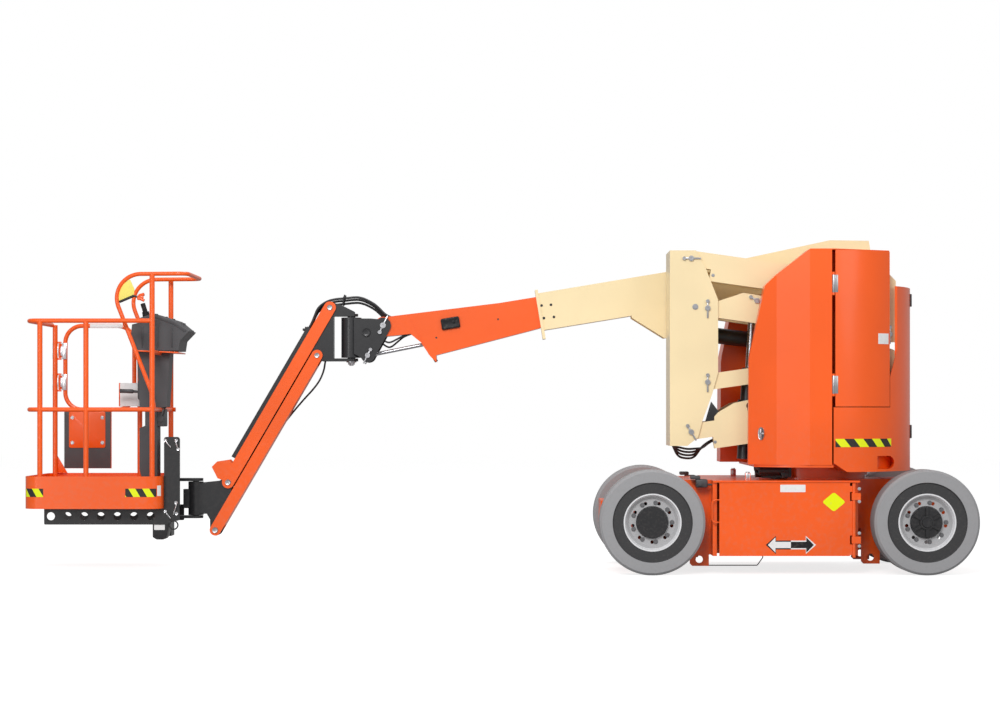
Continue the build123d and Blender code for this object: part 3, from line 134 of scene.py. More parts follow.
# ------------------------------------------------------------------ shader helpers
class Wire:
    """A shader socket that adds its Math nodes when it is used in an expression."""

    def __init__(self, maker, socket):
        self.maker = maker
        self.socket = socket

    def _math(self, operation, *values):
        return self.maker.node("ShaderNodeMath", {"operation": operation}, dict(enumerate(values)))

    def __add__(self, other):
        return self._math("ADD", self, other)

    __radd__ = __add__

    def __mul__(self, other):
        return self._math("MULTIPLY", self, other)

    __rmul__ = __mul__

    def __sub__(self, other):
        return self._math("SUBTRACT", self, other)

    def __rsub__(self, other):
        return self._math("SUBTRACT", other, self)

    def __lt__(self, other):
        return self._math("LESS_THAN", self, other)

    def __gt__(self, other):
        return self._math("GREATER_THAN", self, other)

    def fract(self):
        return self._math("FRACT", self)

    def smooth(self, low, high):
        return self.maker.node("ShaderNodeMapRange", {"interpolation_type": "SMOOTHSTEP"},
                               {0: self, 1: low, 2: high, 3: 0.0, 4: 1.0})


class Finish:
    """Builds one node material around a Principled shader."""

    def __init__(self, name, **constants):
        self.material = bpy.data.materials.new(name)
        self.material.use_nodes = True
        self.tree = self.material.node_tree
        self.shader = next(n for n in self.tree.nodes if n.type == "BSDF_PRINCIPLED")
        for socket, value in constants.items():
            self.shader.inputs[socket.replace("_", " ")].default_value = value
        self.place = self.node("ShaderNodeTexCoord", output="Object")

    def node(self, kind, settings=None, inputs=None, output=0):
        made = self.tree.nodes.new(kind)
        for key, value in (settings or {}).items():
            if key == "stops":
                ramp = made.color_ramp
                for at, colour in value[1:-1]:
                    ramp.elements.new(at)
                for element, (at, colour) in zip(ramp.elements, value):
                    element.position = at
                    element.color = colour
            else:
                setattr(made, key, value)
        for key, value in (inputs or {}).items():
            socket = made.inputs[key]
            if isinstance(value, Wire):
                self.tree.links.new(value.socket, socket)
            else:
                socket.default_value = value
        return Wire(self, made.outputs[output])

    def root(self, value):
        return self.node("ShaderNodeMath", {"operation": "SQRT"}, {0: value})

    def noise(self, scale, detail=3.0, roughness=0.5):
        return self.node("ShaderNodeTexNoise", None,
                         {"Vector": self.place, "Scale": scale, "Detail": detail,
                          "Roughness": roughness}, output="Fac")

    def mix(self, factor, first, second):
        """Colours or wires mixed by a factor."""
        return self.node("ShaderNodeMix", {"data_type": "RGBA"},
                         {0: factor, 6: first, 7: second}, output=2)

    def axes(self):
        split = self.tree.nodes.new("ShaderNodeSeparateXYZ")
        self.tree.links.new(self.place.socket, split.inputs[0])
        return [Wire(self, out) for out in split.outputs]

    def bump(self, height, strength, distance):
        normal = self.node("ShaderNodeBump", None,
                           {"Height": height, "Strength": strength, "Distance": distance})
        self.feed("Normal", normal)

    def feed(self, socket, wire):
        self.tree.links.new(wire.socket, self.shader.inputs[socket])


def rgb(colour, gain=1.0):
    return (colour[0] * gain, colour[1] * gain, colour[2] * gain, 1.0)


def painted(name, colour, roughness=0.32, dust=0.10, coat=0.25):
    """Sprayed paint: faint orange peel, slow tone drift and dust that thickens near the floor."""
    f = Finish(name, Roughness=roughness, Coat_Weight=coat, Coat_Roughness=0.12)
    z = f.axes()[2]
    dust_colour = (0.36, 0.31, 0.26, 1.0)
    drift = f.noise(1.7, 2.0)
    speck = f.noise(38.0, 4.0)
    grime = (1 - z.smooth(0.1, 1.3)) * speck.smooth(0.42, 0.75) * dust
    base = f.mix(drift.smooth(0.3, 0.7), rgb(colour, 0.94), rgb(colour, 1.04))
    f.feed("Base Color", f.mix(grime, base, dust_colour))
    f.feed("Roughness", speck * 0.10 + (grime * 0.35 + (roughness - 0.05)))
    f.bump(f.noise(420.0, 1.0), 0.05, 0.0006)
    return f.material


def metal(name, colour, roughness):
    f = Finish(name, Metallic=1.0, Roughness=roughness)
    speck = f.noise(90.0, 3.0)
    f.feed("Base Color", f.mix(speck, rgb(colour, 0.9), rgb(colour, 1.05)))
    f.feed("Roughness", speck * 0.12 + (roughness - 0.06))
    return f.material


def wheel_rings(name, axle_x, rings, roughness):
    """Finish in rings round a wheel's axle: outer radius and colour, from the middle outwards."""
    f = Finish(name, Roughness=roughness)
    x, _, z = f.axes()
    dx = x - axle_x
    dz = z - WHEEL_Z
    r = f.root(dx * dx + dz * dz)
    speck = f.noise(70.0, 4.0)
    tones = rgb(rings[-1][1])
    for outer, tone in reversed(rings[:-1]):
        tones = f.mix(r < outer, tones, rgb(tone))
    dirt_colour = (0.20, 0.18, 0.16, 1.0)
    f.feed("Base Color", f.mix(speck.smooth(0.45, 0.8) * 0.12, tones, dirt_colour))
    f.feed("Roughness", speck * 0.2 + (roughness - 0.08))
    f.bump(speck, 0.15, 0.0006)
    return f.material


def striped(name, first, second, pitch, lean, around=None):
    """Slanted hazard stripes along X, or round the upright axis whose X and radius are given."""
    f = Finish(name, Roughness=0.5, Specular_IOR_Level=0.25)
    x, y, z = f.axes()
    run = x
    if around:
        run = f.node("ShaderNodeMath", {"operation": "ARCTAN2"}, {0: x - around[0], 1: 0 - y})
        run = run * around[1]
    band = (run * (1 / pitch) + z * (lean / pitch) + 40.0).fract()
    tone = f.noise(60.0, 3.0)
    stripes = f.mix(band < 0.5, rgb(first), rgb(second))
    dirt_colour = (0.3, 0.28, 0.2, 1.0)
    f.feed("Base Color", f.mix(tone * 0.12, stripes, dirt_colour))
    return f.material


def printed(name, colour):
    """Smooth vinyl sticker with a little handling dirt."""
    f = Finish(name, Roughness=0.5, Specular_IOR_Level=0.25)
    dirt = f.noise(45.0, 4.0)
    dirt_colour = (0.4, 0.36, 0.3, 1.0)
    f.feed("Base Color", f.mix(dirt.smooth(0.5, 0.8) * 0.15, rgb(colour), dirt_colour))
    f.feed("Roughness", dirt * 0.12 + 0.44)
    return f.material


def moulded(name, colour, roughness, grain=160.0, depth=0.0008):
    f = Finish(name, Roughness=roughness)
    speck = f.noise(grain, 3.0)
    tone = f.noise(6.0, 2.0)
    f.feed("Base Color", f.mix(tone, rgb(colour, 0.85), rgb(colour, 1.12)))
    f.feed("Roughness", speck * 0.15 + (roughness - 0.07))
    f.bump(speck, 0.25, depth)
    return f.material


# ------------------------------------------------------------------ modelling helpers
def deselect():
    bpy.ops.object.select_all(action="DESELECT")


def pick(piece):
    """Makes a piece the only one selected, and the active one."""
    deselect()
    piece.select_set(True)
    bpy.context.view_layer.objects.active = piece


def dress(piece, material):
    piece.data.materials.clear()
    piece.data.materials.append(material)


class Shaping:
    """Edit mode on one piece, with its faces chosen by place and normal."""

    def __init__(self, piece):
        self.piece = piece

    def __enter__(self):
        pick(self.piece)
        bpy.ops.object.mode_set(mode="EDIT")
        bpy.ops.mesh.select_mode(type="FACE")
        return self

    def __exit__(self, *error):
        bpy.ops.object.mode_set(mode="OBJECT")

    def faces(self, test):
        bpy.ops.mesh.select_all(action="DESELECT")
        mesh = bmesh.from_edit_mesh(self.piece.data)
        for face in mesh.faces:
            if test(face.calc_center_median(), face.normal):
                face.select_set(True)
        bmesh.update_edit_mesh(self.piece.data)

    def top(self):
        self.faces(lambda c, n: n.z > 0.95)

    def pull(self, *offset):
        bpy.ops.mesh.extrude_region_move(TRANSFORM_OT_translate={"value": offset})

    def inset(self, thickness, depth=0.0):
        bpy.ops.mesh.inset(thickness=thickness, depth=depth)

    def cut(self, place, normal):
        """Cuts away what lies beyond a plane."""
        bpy.ops.mesh.select_all(action="SELECT")
        bpy.ops.mesh.bisect(plane_co=place, plane_no=normal, clear_outer=True, use_fill=False)

    def outwards(self):
        bpy.ops.mesh.select_all(action="SELECT")
        bpy.ops.mesh.normals_make_consistent(inside=False)


def modify(piece, kind, **settings):
    pick(piece)
    modifier = piece.modifiers.new(kind.lower(), kind)
    for key, value in settings.items():
        setattr(modifier, key, value)
    bpy.ops.object.modifier_apply(modifier=modifier.name)


def joined(pieces):
    deselect()
    for piece in pieces:
        piece.select_set(True)
    bpy.context.view_layer.objects.active = pieces[0]
    if len(pieces) > 1:
        bpy.ops.object.join()
    return pieces[0]


def settle(piece, name, finish, body, slot=None):
    """Names a finished piece or list of pieces, and gives it its finish and body."""
    if isinstance(piece, list):
        piece = joined(piece)
    piece.name = name
    pick(piece)
    bpy.ops.object.transform_apply(location=True, rotation=True, scale=True)
    bpy.ops.object.shade_smooth_by_angle(angle=math.radians(38.0))
    dress(piece, FINISH[finish])
    slot = slot or SLOT.get(finish)
    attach(piece, body)
    return piece


def stance(place, facing, along=None):
    """Matrix that stands a piece made on +Z at a place, facing a direction."""
    z = Vector(facing).normalized()
    x = Vector(along) if along else z.orthogonal()
    x = (x - z * x.dot(z)).normalized()
    return Matrix.Translation(place) @ Matrix((x, z.cross(x), z)).transposed().to_4x4()


def fit(model, spots, name, finish, body):
    """Stands a copy of one model at every spot (place, facing, along, size), as one piece."""
    copies = []
    for place, facing, along, size in spots:
        copy = model.copy()
        copy.data = model.data.copy()
        bpy.context.scene.collection.objects.link(copy)
        stand = stance(place, facing, along) @ Matrix.Scale(size, 4)
        copy.data.transform(stand @ model.matrix_world)
        copy.matrix_world = Matrix.Identity(4)
        copies.append(copy)
    settle(copies, name, finish, body)


def fit_both(model, spots, name, finish, node, reach=0.0, body=None, proud=0.0):
    """Stands copies at (x, z, along, size) on a CAD node's near side, and more on its far side.

    Over a bore the reach is the radius where its rim lies. A body other than the node may carry
    them, and then proud lifts them clear of the node's face."""
    for side, way in SIDES:
        facing = Vector((0, way, 0))
        fit(model, [(skin(node, x, z, way, reach) + facing * proud, facing, along, size)
                    for x, z, along, size in spots], f"{name}_{side}", finish, body or node)


def skin(node, x, z, way=-1, reach=0.0):
    """Point on a CAD node's near (-1) or far (1) side.

    Over a bore it lies level with the rim, which is looked for at a reach from the middle."""
    ring = [(0.0, 0.0)]
    if reach:
        ring += [(reach * math.cos(a), reach * math.sin(a)) for a in range(6)]
    depths = []
    outside = 3.0
    for dx, dz in ring:
        start = Vector((x + dx, way * outside, z + dz))
        hit, place = NODES[node].ray_cast(start, Vector((0, -way, 0)))[:2]
        if hit:
            depths.append(place.y)
    if not depths:
        raise ValueError(f"nothing of {node} at {x:.3f}, {z:.3f}")
    return Vector((x, way * max(way * y for y in depths), z))


def drum(sides, r, depth, z=0.0, x=0.0):
    """Cylinder standing along Z, its middle at an X and Z."""
    deselect()
    bpy.ops.mesh.primitive_cylinder_add(vertices=sides, radius=r, depth=depth, location=(x, 0, z))
    return bpy.context.object


def block(centre, size, edge):
    """Box with rolled edges."""
    deselect()
    bpy.ops.mesh.primitive_cube_add(size=1.0, location=centre, scale=size)
    box = bpy.context.object
    bpy.ops.object.transform_apply(location=True, rotation=True, scale=True)
    modify(box, "BEVEL", width=edge, segments=2, limit_method="ANGLE")
    return box


def rod(start, end, r, sides=24):
    """Round bar with chamfered ends."""
    start, end = Vector(start), Vector(end)
    length = (end - start).length
    chamfer = length * 0.03
    bar = drum(sides, r, length - 2 * chamfer)
    with Shaping(bar) as shape:
        for side in (1, -1):
            shape.faces(lambda c, n: n.z * side > 0.9)
            shape.pull(0, 0, side * chamfer)
            bpy.ops.transform.resize(value=(0.85, 0.85, 1))
    bar.data.transform(stance((start + end) / 2, end - start))
    return bar


def rectangle(x0, z0, x1, z1):
    return [(x0, z0), (x1, z0), (x1, z1), (x0, z1)]


def cut_plate(outline, y, depth, edge=0.0, corner=0.0):
    """Plate cut to an outline in X and Z, from y to y + depth, with its corners rounded."""
    if corner:
        outline = round_corners(outline, corner)
    deselect()
    bpy.ops.mesh.primitive_circle_add(vertices=len(outline), radius=1.0, fill_type="NGON")
    plate = bpy.context.object
    for vertex, (x, z) in zip(plate.data.vertices, outline):
        vertex.co = (x, y, z)
    with Shaping(plate) as shape:
        bpy.ops.mesh.select_all(action="SELECT")
        shape.pull(0, depth, 0)
        shape.outwards()
    if edge:
        modify(plate, "BEVEL", width=edge, segments=2, limit_method="ANGLE")
    return plate


def round_corners(outline, r, steps=4):
    """Outline with its corners rounded."""
    out = []
    count = len(outline)
    for i in range(count):
        here = Vector(outline[i])
        before = (Vector(outline[i - 1]) - here).normalized() * r
        after = (Vector(outline[(i + 1) % count]) - here).normalized() * r
        for k in range(steps + 1):
            t = k / steps
            out.append(tuple(here + before * (1 - t) ** 2 + after * t ** 2))
    return out


def flat(y, *points):
    """Route through points (x, z) that all lie at one Y."""
    return [(x, y, z) for x, z in points]


def hose(name, route, r, body, other=None):
    """Hydraulic hose along a route, carried by one body; a hose given a second body across a joint is left in
    place on neither.
    """
    path = bpy.data.curves.new(name, "CURVE")
    path.dimensions = "3D"
    path.bevel_depth = r
    path.bevel_resolution = 3
    path.resolution_u = 10
    path.use_fill_caps = True
    spline = path.splines.new("NURBS")
    spline.points.add(len(route) - 1)
    for point, place in zip(spline.points, route):
        point.co = (*place, 1.0)
    spline.order_u = 3
    spline.use_endpoint_u = True
    piece = bpy.data.objects.new(name, path)
    bpy.context.scene.collection.objects.link(piece)
    pick(piece)
    bpy.ops.object.convert(target="MESH")
    piece = bpy.context.object
    bpy.ops.object.shade_smooth()
    dress(piece, FINISH["hose"])
    if other:
        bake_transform(piece)
    else:
        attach(piece, body)
    return piece


def bolt_model():
    """Hexagon bolt head on a washer, unit radius, standing on the XY plane."""
    head = drum(6, 1.0, 0.6, 0.5)
    with Shaping(head) as shape:
        shape.top()
        shape.inset(0.16)
        shape.pull(0, 0, 0.08)
    washer = drum(20, 1.35, 0.2, 0.1)
    with Shaping(washer) as shape:
        shape.top()
        shape.inset(0.12)
        shape.pull(0, 0, 0.06)
    return joined([head, washer])


def keeper_model():
    """Round pin end with its flat keeper bar along +X and the bar's screw."""
    pin = drum(28, 0.0165, 0.012, 0.006)
    with Shaping(pin) as shape:
        shape.top()
        shape.inset(0.003)
        shape.pull(0, 0, 0.002)
        shape.inset(0.007)
        shape.pull(0, 0, -0.003)
    bar = block((0.005, 0, 0.005), (0.112, 0.010, 0.008), 0.002)
    screw = drum(20, 0.011, 0.014, 0.007, -0.043)
    with Shaping(screw) as shape:
        shape.top()
        shape.inset(0.003)
        shape.pull(0, 0, -0.003)
    return joined([pin, bar, screw])


def pin_model():
    """Plain pin end with a chamfer and a drilled middle, unit radius."""
    pin = drum(28, 1.0, 0.4, 0.2)
    with Shaping(pin) as shape:
        shape.top()
        shape.inset(0.18, -0.12)
        shape.inset(0.45)
        shape.pull(0, 0, -0.15)
    return pin


def discard(*models):
    for model in models:
        bpy.data.objects.remove(model, do_unlink=True)


# ------------------------------------------------------------------ operators
class LIFT_OT_stage(bpy.types.Operator):
    """Floor, lamps and camera"""

    bl_idname = "lift.stage"
    bl_label = "Stage"

    def execute(self, context):
        scene = context.scene
        stage = scene.lift_stage
        scene.view_settings.view_transform = "Standard"
        deselect()
        bpy.ops.mesh.primitive_plane_add(size=60.0, location=(0, 0, 0))
        floor = context.object
        floor.name = "floor"
        grey, seen_grey = (0.40, 0.40, 0.40, 1), (0.78, 0.78, 0.78, 1)
        f = Finish("floor_paint", Roughness=0.9, Emission_Strength=1.0, Base_Color=grey)
        camera_ray = f.node("ShaderNodeLightPath", output="Is Camera Ray")
        f.feed("Emission Color", f.mix(camera_ray, (0, 0, 0, 1), seen_grey))
        floor.data.materials.append(f.material)

        sky_light, seen_sky = 0.47, 1.0
        world = bpy.data.worlds.new("studio")
        scene.world = world
        world.use_nodes = True
        tree = world.node_tree
        back = tree.nodes["Background"]
        path = tree.nodes.new("ShaderNodeLightPath")
        glow = tree.nodes.new("ShaderNodeMath")
        glow.operation = "MULTIPLY_ADD"
        glow.inputs[1].default_value = seen_sky - sky_light
        glow.inputs[2].default_value = sky_light
        tree.links.new(path.outputs["Is Camera Ray"], glow.inputs[0])
        tree.links.new(glow.outputs[0], back.inputs["Strength"])
        back.inputs["Color"].default_value = (1, 1, 1, 1)

        for name, place, aim, size, power in (
                ("key", (-1.2, -8.5, 6.0), (0.3, 0, 1.0), 4.0, 530.0),
                ("side", (-6.4, -10.0, 1.8), (1.7, -0.6, 1.3), 3.0, 130.0),
                ("fill", (6.5, -7.0, 4.0), (0.5, 0, 1.0), 5.0, 110.0),
                ("top", (0.0, 2.0, 9.0), (0, 0, 1.0), 7.0, 260.0)):
            lamp = bpy.data.lights.new(name, "AREA")
            lamp.shape = "DISK"
            lamp.size = size
            lamp.energy = power
            holder = bpy.data.objects.new(name, lamp)
            scene.collection.objects.link(holder)
            holder.location = place
            gaze = Vector(aim) - Vector(place)
            holder.rotation_euler = gaze.to_track_quat("-Z", "Y").to_euler()

        lens = bpy.data.cameras.new("camera")
        lens.lens = stage.lens
        lens.sensor_width = 36.0
        lens.shift_x = -0.0195
        lens.shift_y = 0.0555
        lens.clip_end = 100.0
        camera = bpy.data.objects.new("camera", lens)
        scene.collection.objects.link(camera)
        camera.location = (stage.eye_x, -stage.distance, stage.eye_height)
        camera.rotation_euler = (math.pi / 2, 0, 0)
        scene.camera = camera
        return {"FINISHED"}


class LIFT_OT_paint(bpy.types.Operator):
    """Finishes of the frame's own pieces"""

    bl_idname = "lift.paint"
    bl_label = "Paint the frame"

    def execute(self, context):
        colours = context.scene.lift_paint
        black, rim, tread = tuple(colours.black), tuple(colours.rim), tuple(colours.rubber)
        sidewall, lip = (0.035, 0.035, 0.037), (0.74, 0.74, 0.76)
        outermost = 1.0
        FINISH.update({
            "orange": painted("orange_paint", colours.orange),
            "cream": painted("cream_paint", colours.cream),
            "black": painted("black_paint", colours.black, 0.36, 0.03, 0.1),
            "chrome": metal("rod_chrome", (0.42, 0.42, 0.44), 0.28),
            "zinc": metal("zinc_plate", (0.50, 0.50, 0.52), 0.34),
            "nut_steel": metal("nut_steel", (0.24, 0.24, 0.25), 0.36),
            "silver": metal("bright_steel", (0.72, 0.72, 0.74), 0.3),
            "battery_case": moulded("battery_case", (0.03, 0.03, 0.035), 0.5),
            "hose": moulded("hose_rubber", (0.018, 0.018, 0.02), 0.5, 300.0, 0.0003),
            "moulding": moulded("console_moulding", (0.06, 0.06, 0.065), 0.5, 220.0),
            "panel": moulded("panel_grey", (0.075, 0.075, 0.08), 0.55, 220.0),
            "white": printed("blank_label", (0.82, 0.82, 0.82)),
            "decal_black": printed("decal_black", (0.012, 0.012, 0.014)),
            "yellow": printed("yellow_plate", colours.hazard),
            "pale_yellow": printed("guard_yellow", (0.90, 0.78, 0.17)),
            "hood_stripes": striped("hood_stripes", black, colours.hazard, 0.125, 0.85,
                                    (SLEW_X, TAIL_RADIUS)),
            "tray_stripes": striped("tray_stripes", black, colours.hazard, 0.085, 0.6),
        })
        for corner, axle_x in (("rear", REAR_X), ("front", FRONT_X)):
            FINISH["tyre_" + corner] = wheel_rings(
                corner + "_tyre_rubber", axle_x,
                ((SIDEWALL_R, sidewall), (outermost, tread)), 0.72)
            FINISH["rim_" + corner] = wheel_rings(
                corner + "_rim_paint", axle_x,
                ((HUB_R, black), (DISC_R, rim), (outermost, lip)), 0.36)
        slots = {"rim_grey": "zinc", "tyre_grey": "hose", "rubber_black": "hose"}
        slot_of = {part["node"]: part["material_slot"] for part in frame["record"]["subparts"]}
        for node in NODES:
            kind = node.rsplit("_", 1)[0]
            slot = slot_of[node]
            dress(NODES[node], FINISH.get(kind) or FINISH[slots.get(slot, slot)])
        dress(NODES["control_console"], FINISH["moulding"])
        return {"FINISHED"}


class LIFT_OT_wheels(bpy.types.Operator):
    """Wheel nuts, and black discs in the through holes between them that paint the shade inside the holes"""

    bl_idname = "lift.wheels"
    bl_label = "Wheel nuts and painted hole shade"

    def execute(self, context):
        nut = bolt_model()
        shade_disc = pin_model()
        step = 360 // NUTS
        for end in ("rear", "front"):
            for side, way in SIDES:
                body = f"wheel_{end}_{side}"
                axle = joint_at(body)
                nuts, holes = [], []
                for i in range(NUTS):
                    turn = math.radians(step // 2 + step * i)
                    along = (math.cos(turn), 0, math.sin(turn))
                    nut_at = self.on_circle(axle, way, turn, 0.042)
                    nuts.append((nut_at, (0, way, 0), along, 0.0105))
                    # the holes between the nuts go right through; a black disc in each paints the shade inside it
                    hole = self.on_circle(axle, way, math.radians(step * i), 0.026)
                    holes.append((hole, (0, way, 0), ALONG_X, 0.0085))
                fit(nut, nuts, f"nuts_{end}_{side}", "nut_steel", body)
                fit(shade_disc, holes, f"hole_shade_discs_{end}_{side}", "black", body)
        discard(nut, shade_disc)
        return {"FINISHED"}

    def on_circle(self, axle, way, turn, depth):
        return (axle.x + way * NUT_CIRCLE * math.cos(turn), axle.y + way * depth,
                axle.z - NUT_CIRCLE * math.sin(turn))


class LIFT_OT_tower(bpy.types.Operator):
    """Pins, keeper bars, bolts and stop plate of the tower"""

    bl_idname = "lift.tower"
    bl_label = "Tower pins"

    def execute(self, context):
        keeper = keeper_model()
        bolt = bolt_model()
        pin = pin_model()
        for model, name, node, spots in (
                (keeper, "upright_pins", "tower_mid_upright", (
                    (1.1965, 1.923, ALONG_X, 1.0), (1.2975, 1.618, DOWN, 1.0),
                    (1.2975, 1.165, DOWN, 1.0), (1.1965, 0.860, (0.5, 0, -0.86), 1.0))),
                (bolt, "upright_bolt", "tower_mid_upright", ((1.222, 1.626, ALONG_X, 0.0135),)),
                (keeper, "rear_upright_pins", "tower_rear_upright", (
                    (2.3115, 1.764, ALONG_X, 1.0), (2.4125, 1.459, DOWN, 1.0))),
                (bolt, "upper_link_bolt", "tower_upper_link", ((1.332, 1.820, ALONG_X, 0.0075),)),
                (bolt, "lower_arm_bolt", "tower_lower_arm", ((1.345, 0.798, ALONG_X, 0.0075),)),
                (keeper, "cylinder_head_pin", "tower_upper_arm", (
                    (1.600, 1.665, (0.85, 0, -0.5), 1.0),)),
                (pin, "cylinder_foot_pin", "tower_lower_arm", ((1.5575, 1.000, ALONG_X, 0.017),))):
            fit_both(model, spots, name, "zinc", node, 0.03)
        stop = [(1.281, 0.915), (1.320, 1.047), (1.375, 0.975), (1.336, 0.915)]
        settle(cut_plate(stop, -0.333, 0.006, 0.001), "tower_stop", "black", "tower_lower_arm")
        discard(keeper, bolt, pin)
        return {"FINISHED"}


class LIFT_OT_hoods(bpy.types.Operator):
    """Hinges, latch, stripes, blank label and lamps of the hoods"""

    bl_idname = "lift.hoods"
    bl_label = "Hood fittings"

    def execute(self, context):
        for side, way in SIDES:
            hinge = joint_at(f"hood_door_{side}_hinge")
            sleeves = []
            for low, high in ((1.0906, 1.201), (1.699, 1.808)):
                sleeves += [rod((hinge.x, hinge.y, low + 0.001), (hinge.x, hinge.y, high - 0.001),
                                0.0098),
                            block((hinge.x + 0.013, hinge.y + way * 0.0055, (low + high) / 2),
                                  (0.026, 0.003, high - low - 0.004), 0.001)]
            settle(sleeves, f"hood_hinges_{side}", "zinc", f"hood_door_{side}")

            settle(self.band(way, 2.0417, 2.405, 0.771, 0.8205), f"hood_stripes_{side}",
                   "hood_stripes", "turntable")
            settle(self.band(way, 2.315, 2.386, 1.394, 1.458), f"door_label_{side}", "white",
                   f"hood_door_{side}")

        facet = (-0.566, -0.824, 0)
        plate = drum(32, 0.5, 1.0)
        plate.data.transform(Matrix.Diagonal((0.042, 0.078, 0.006, 1)))
        with Shaping(plate) as shape:
            shape.top()
            shape.inset(0.004, -0.002)
        grip = block((0, 0, 0.010), (0.014, 0.058, 0.014), 0.004)
        lever = block((0.012, 0, 0.016), (0.030, 0.012, 0.008), 0.003)
        latch = joined([plate, grip, lever])
        spot = skin("hood_near", 1.6117, 0.851)
        across = (-facet[1], facet[0], 0)
        latch.data.transform(stance(spot + Vector(facet) * 0.003, facet, across))
        settle(latch, "hood_latch", "zinc", "turntable", "black")

        lamps = []
        for y in (-0.12, 0.12):
            for low, high in ((1.638, 1.717), (0.818, 0.902)):
                x = SLEW_X + math.sqrt(TAIL_RADIUS ** 2 - y ** 2)
                facing = Vector((x - SLEW_X, y, 0)).normalized()
                lamp = block((0, 0, 0.004), (0.030, high - low, 0.014), 0.004)
                with Shaping(lamp) as shape:
                    shape.top()
                    shape.inset(0.004, -0.003)
                across = (-facing.y, facing.x, 0)
                lamp.data.transform(stance((x, y, (low + high) / 2), facing, across))
                lamps.append(lamp)
        settle(lamps, "rear_lamps", "moulding", "turntable")
        return {"FINISHED"}

    def band(self, way, x0, x1, z0, z1):
        """Strip bent round the tail, one millimetre proud of it."""
        deselect()
        bpy.ops.mesh.primitive_cylinder_add(
            vertices=360, radius=TAIL_RADIUS + 0.0002, depth=z1 - z0, end_fill_type="NOTHING",
            location=(SLEW_X, 0, (z0 + z1) / 2))
        strip = bpy.context.object
        bpy.ops.object.transform_apply(location=True)
        with Shaping(strip) as shape:
            shape.cut((x0, 0, 0), (-1, 0, 0))
            shape.cut((x1, 0, 0), (1, 0, 0))
            shape.cut((0, 0, 0), (0, -way, 0))
        modify(strip, "SOLIDIFY", thickness=STICKER, offset=1.0)
        return strip


class LIFT_OT_chassis(bpy.types.Operator):
    """Labels, arrows, diamond, hinge bolts, latches and stops of the chassis, and slewing gear"""

    bl_idname = "lift.chassis"
    bl_label = "Chassis fittings"

    def execute(self, context):
        bolt = bolt_model()
        for side, way in SIDES:
            body = f"battery_door_{side}"
            face = skin(body, 1.78, 0.30, way).y

            def sheet(outline, corner=0.0, lift=0.0):
                y = face + way * (0.0003 + lift)
                return cut_plate(outline, y, way * STICKER, 0.0, corner)

            label = rectangle(1.716, 0.499, 1.868, 0.544)
            settle(sheet(label, 0.004), f"door_blank_label_{side}", "white", body)
            diamond = [(1.968, 0.440), (2.039, 0.380), (2.110, 0.440), (2.039, 0.500)]
            settle(sheet(diamond, 0.016), f"door_diamond_{side}", "yellow", body)
            for end, turn, rim, fill in (("left", -1, "decal_black", "white"),
                                         ("right", 1, "white", "decal_black")):
                settle(sheet(self.arrow(turn, 0.0)), f"arrow_rim_{end}_{side}", rim, body)
                settle(sheet(self.arrow(turn, 0.0075), 0.0, STICKER), f"arrow_{end}_{side}", fill,
                       body)

            spots = [((2.190, way * 0.574, z), (0, way, 0), ALONG_X, 0.0075)
                     for z in (0.520, 0.443, 0.253, 0.175)]
            fit(bolt, spots, f"door_hinge_bolts_{side}", "silver", "chassis")

            latch = [block((1.214, way * 0.432, 0.584), (0.058, 0.070, 0.022), 0.006),
                     block((1.252, way * 0.432, 0.548), (0.072, 0.074, 0.050), 0.008),
                     rod((1.240, way * 0.470, 0.548), (1.240, way * 0.484, 0.548), 0.014),
                     rod((1.268, way * 0.452, 0.541), (1.338, way * 0.452, 0.541), 0.006),
                     block((1.326, way * 0.458, 0.500), (0.018, 0.020, 0.024), 0.005)]
            settle(latch, f"bay_latch_{side}", "moulding", "chassis")

            pin = [block((1.5335, way * 0.430, 0.587), (0.0335, 0.0335, 0.050), 0.006),
                   rod((1.5335, way * 0.430, 0.600), (1.5335, way * 0.430, 0.618), 0.012)]
            settle(pin, f"slew_stop_{side}", "silver", "chassis")
        discard(bolt)

        # slewing gear under the turntable
        gear = [rod((1.610, -0.352, 0.622), (1.790, -0.352, 0.622), 0.030),
                rod((1.722, -0.300, 0.572), (1.722, -0.300, 0.655), 0.036),
                block((1.660, -0.345, 0.640), (0.150, 0.060, 0.030), 0.008),
                block((1.765, -0.375, 0.598), (0.040, 0.030, 0.044), 0.006)]
        settle(gear, "slewing_gear", "black", "turntable")
        for i, (x, drop) in enumerate(((1.585, 0.026), (1.625, 0.034), (1.668, 0.022))):
            hose(f"slewing_hose_{i}",
                 [(x, -0.355, 0.652), (x - 0.004, -0.362, 0.628),
                  (x + 0.020, -0.366, 0.606 - drop / 4), (x + 0.058, -0.366, 0.600),
                  (x + 0.088, -0.362, 0.620), (x + 0.096, -0.352, 0.650)],
                 THIN_HOSE_R, "turntable")
        return {"FINISHED"}

    def arrow(self, way, edge):
        """Half of the double arrow, drawn in from its rim by an edge."""
        middle, z = 1.780, 0.181
        tip = 0.151 - 1.7 * edge
        neck = 0.090 + 0.4 * edge
        head, shaft = 0.0545 - 1.2 * edge, 0.0265 - edge
        outline = [(0.0, -shaft), (neck, -shaft), (neck, -head), (tip, 0.0), (neck, head),
                   (neck, shaft), (0.0, shaft)]
        return [(middle + way * x, z + dz) for x, dz in outline]


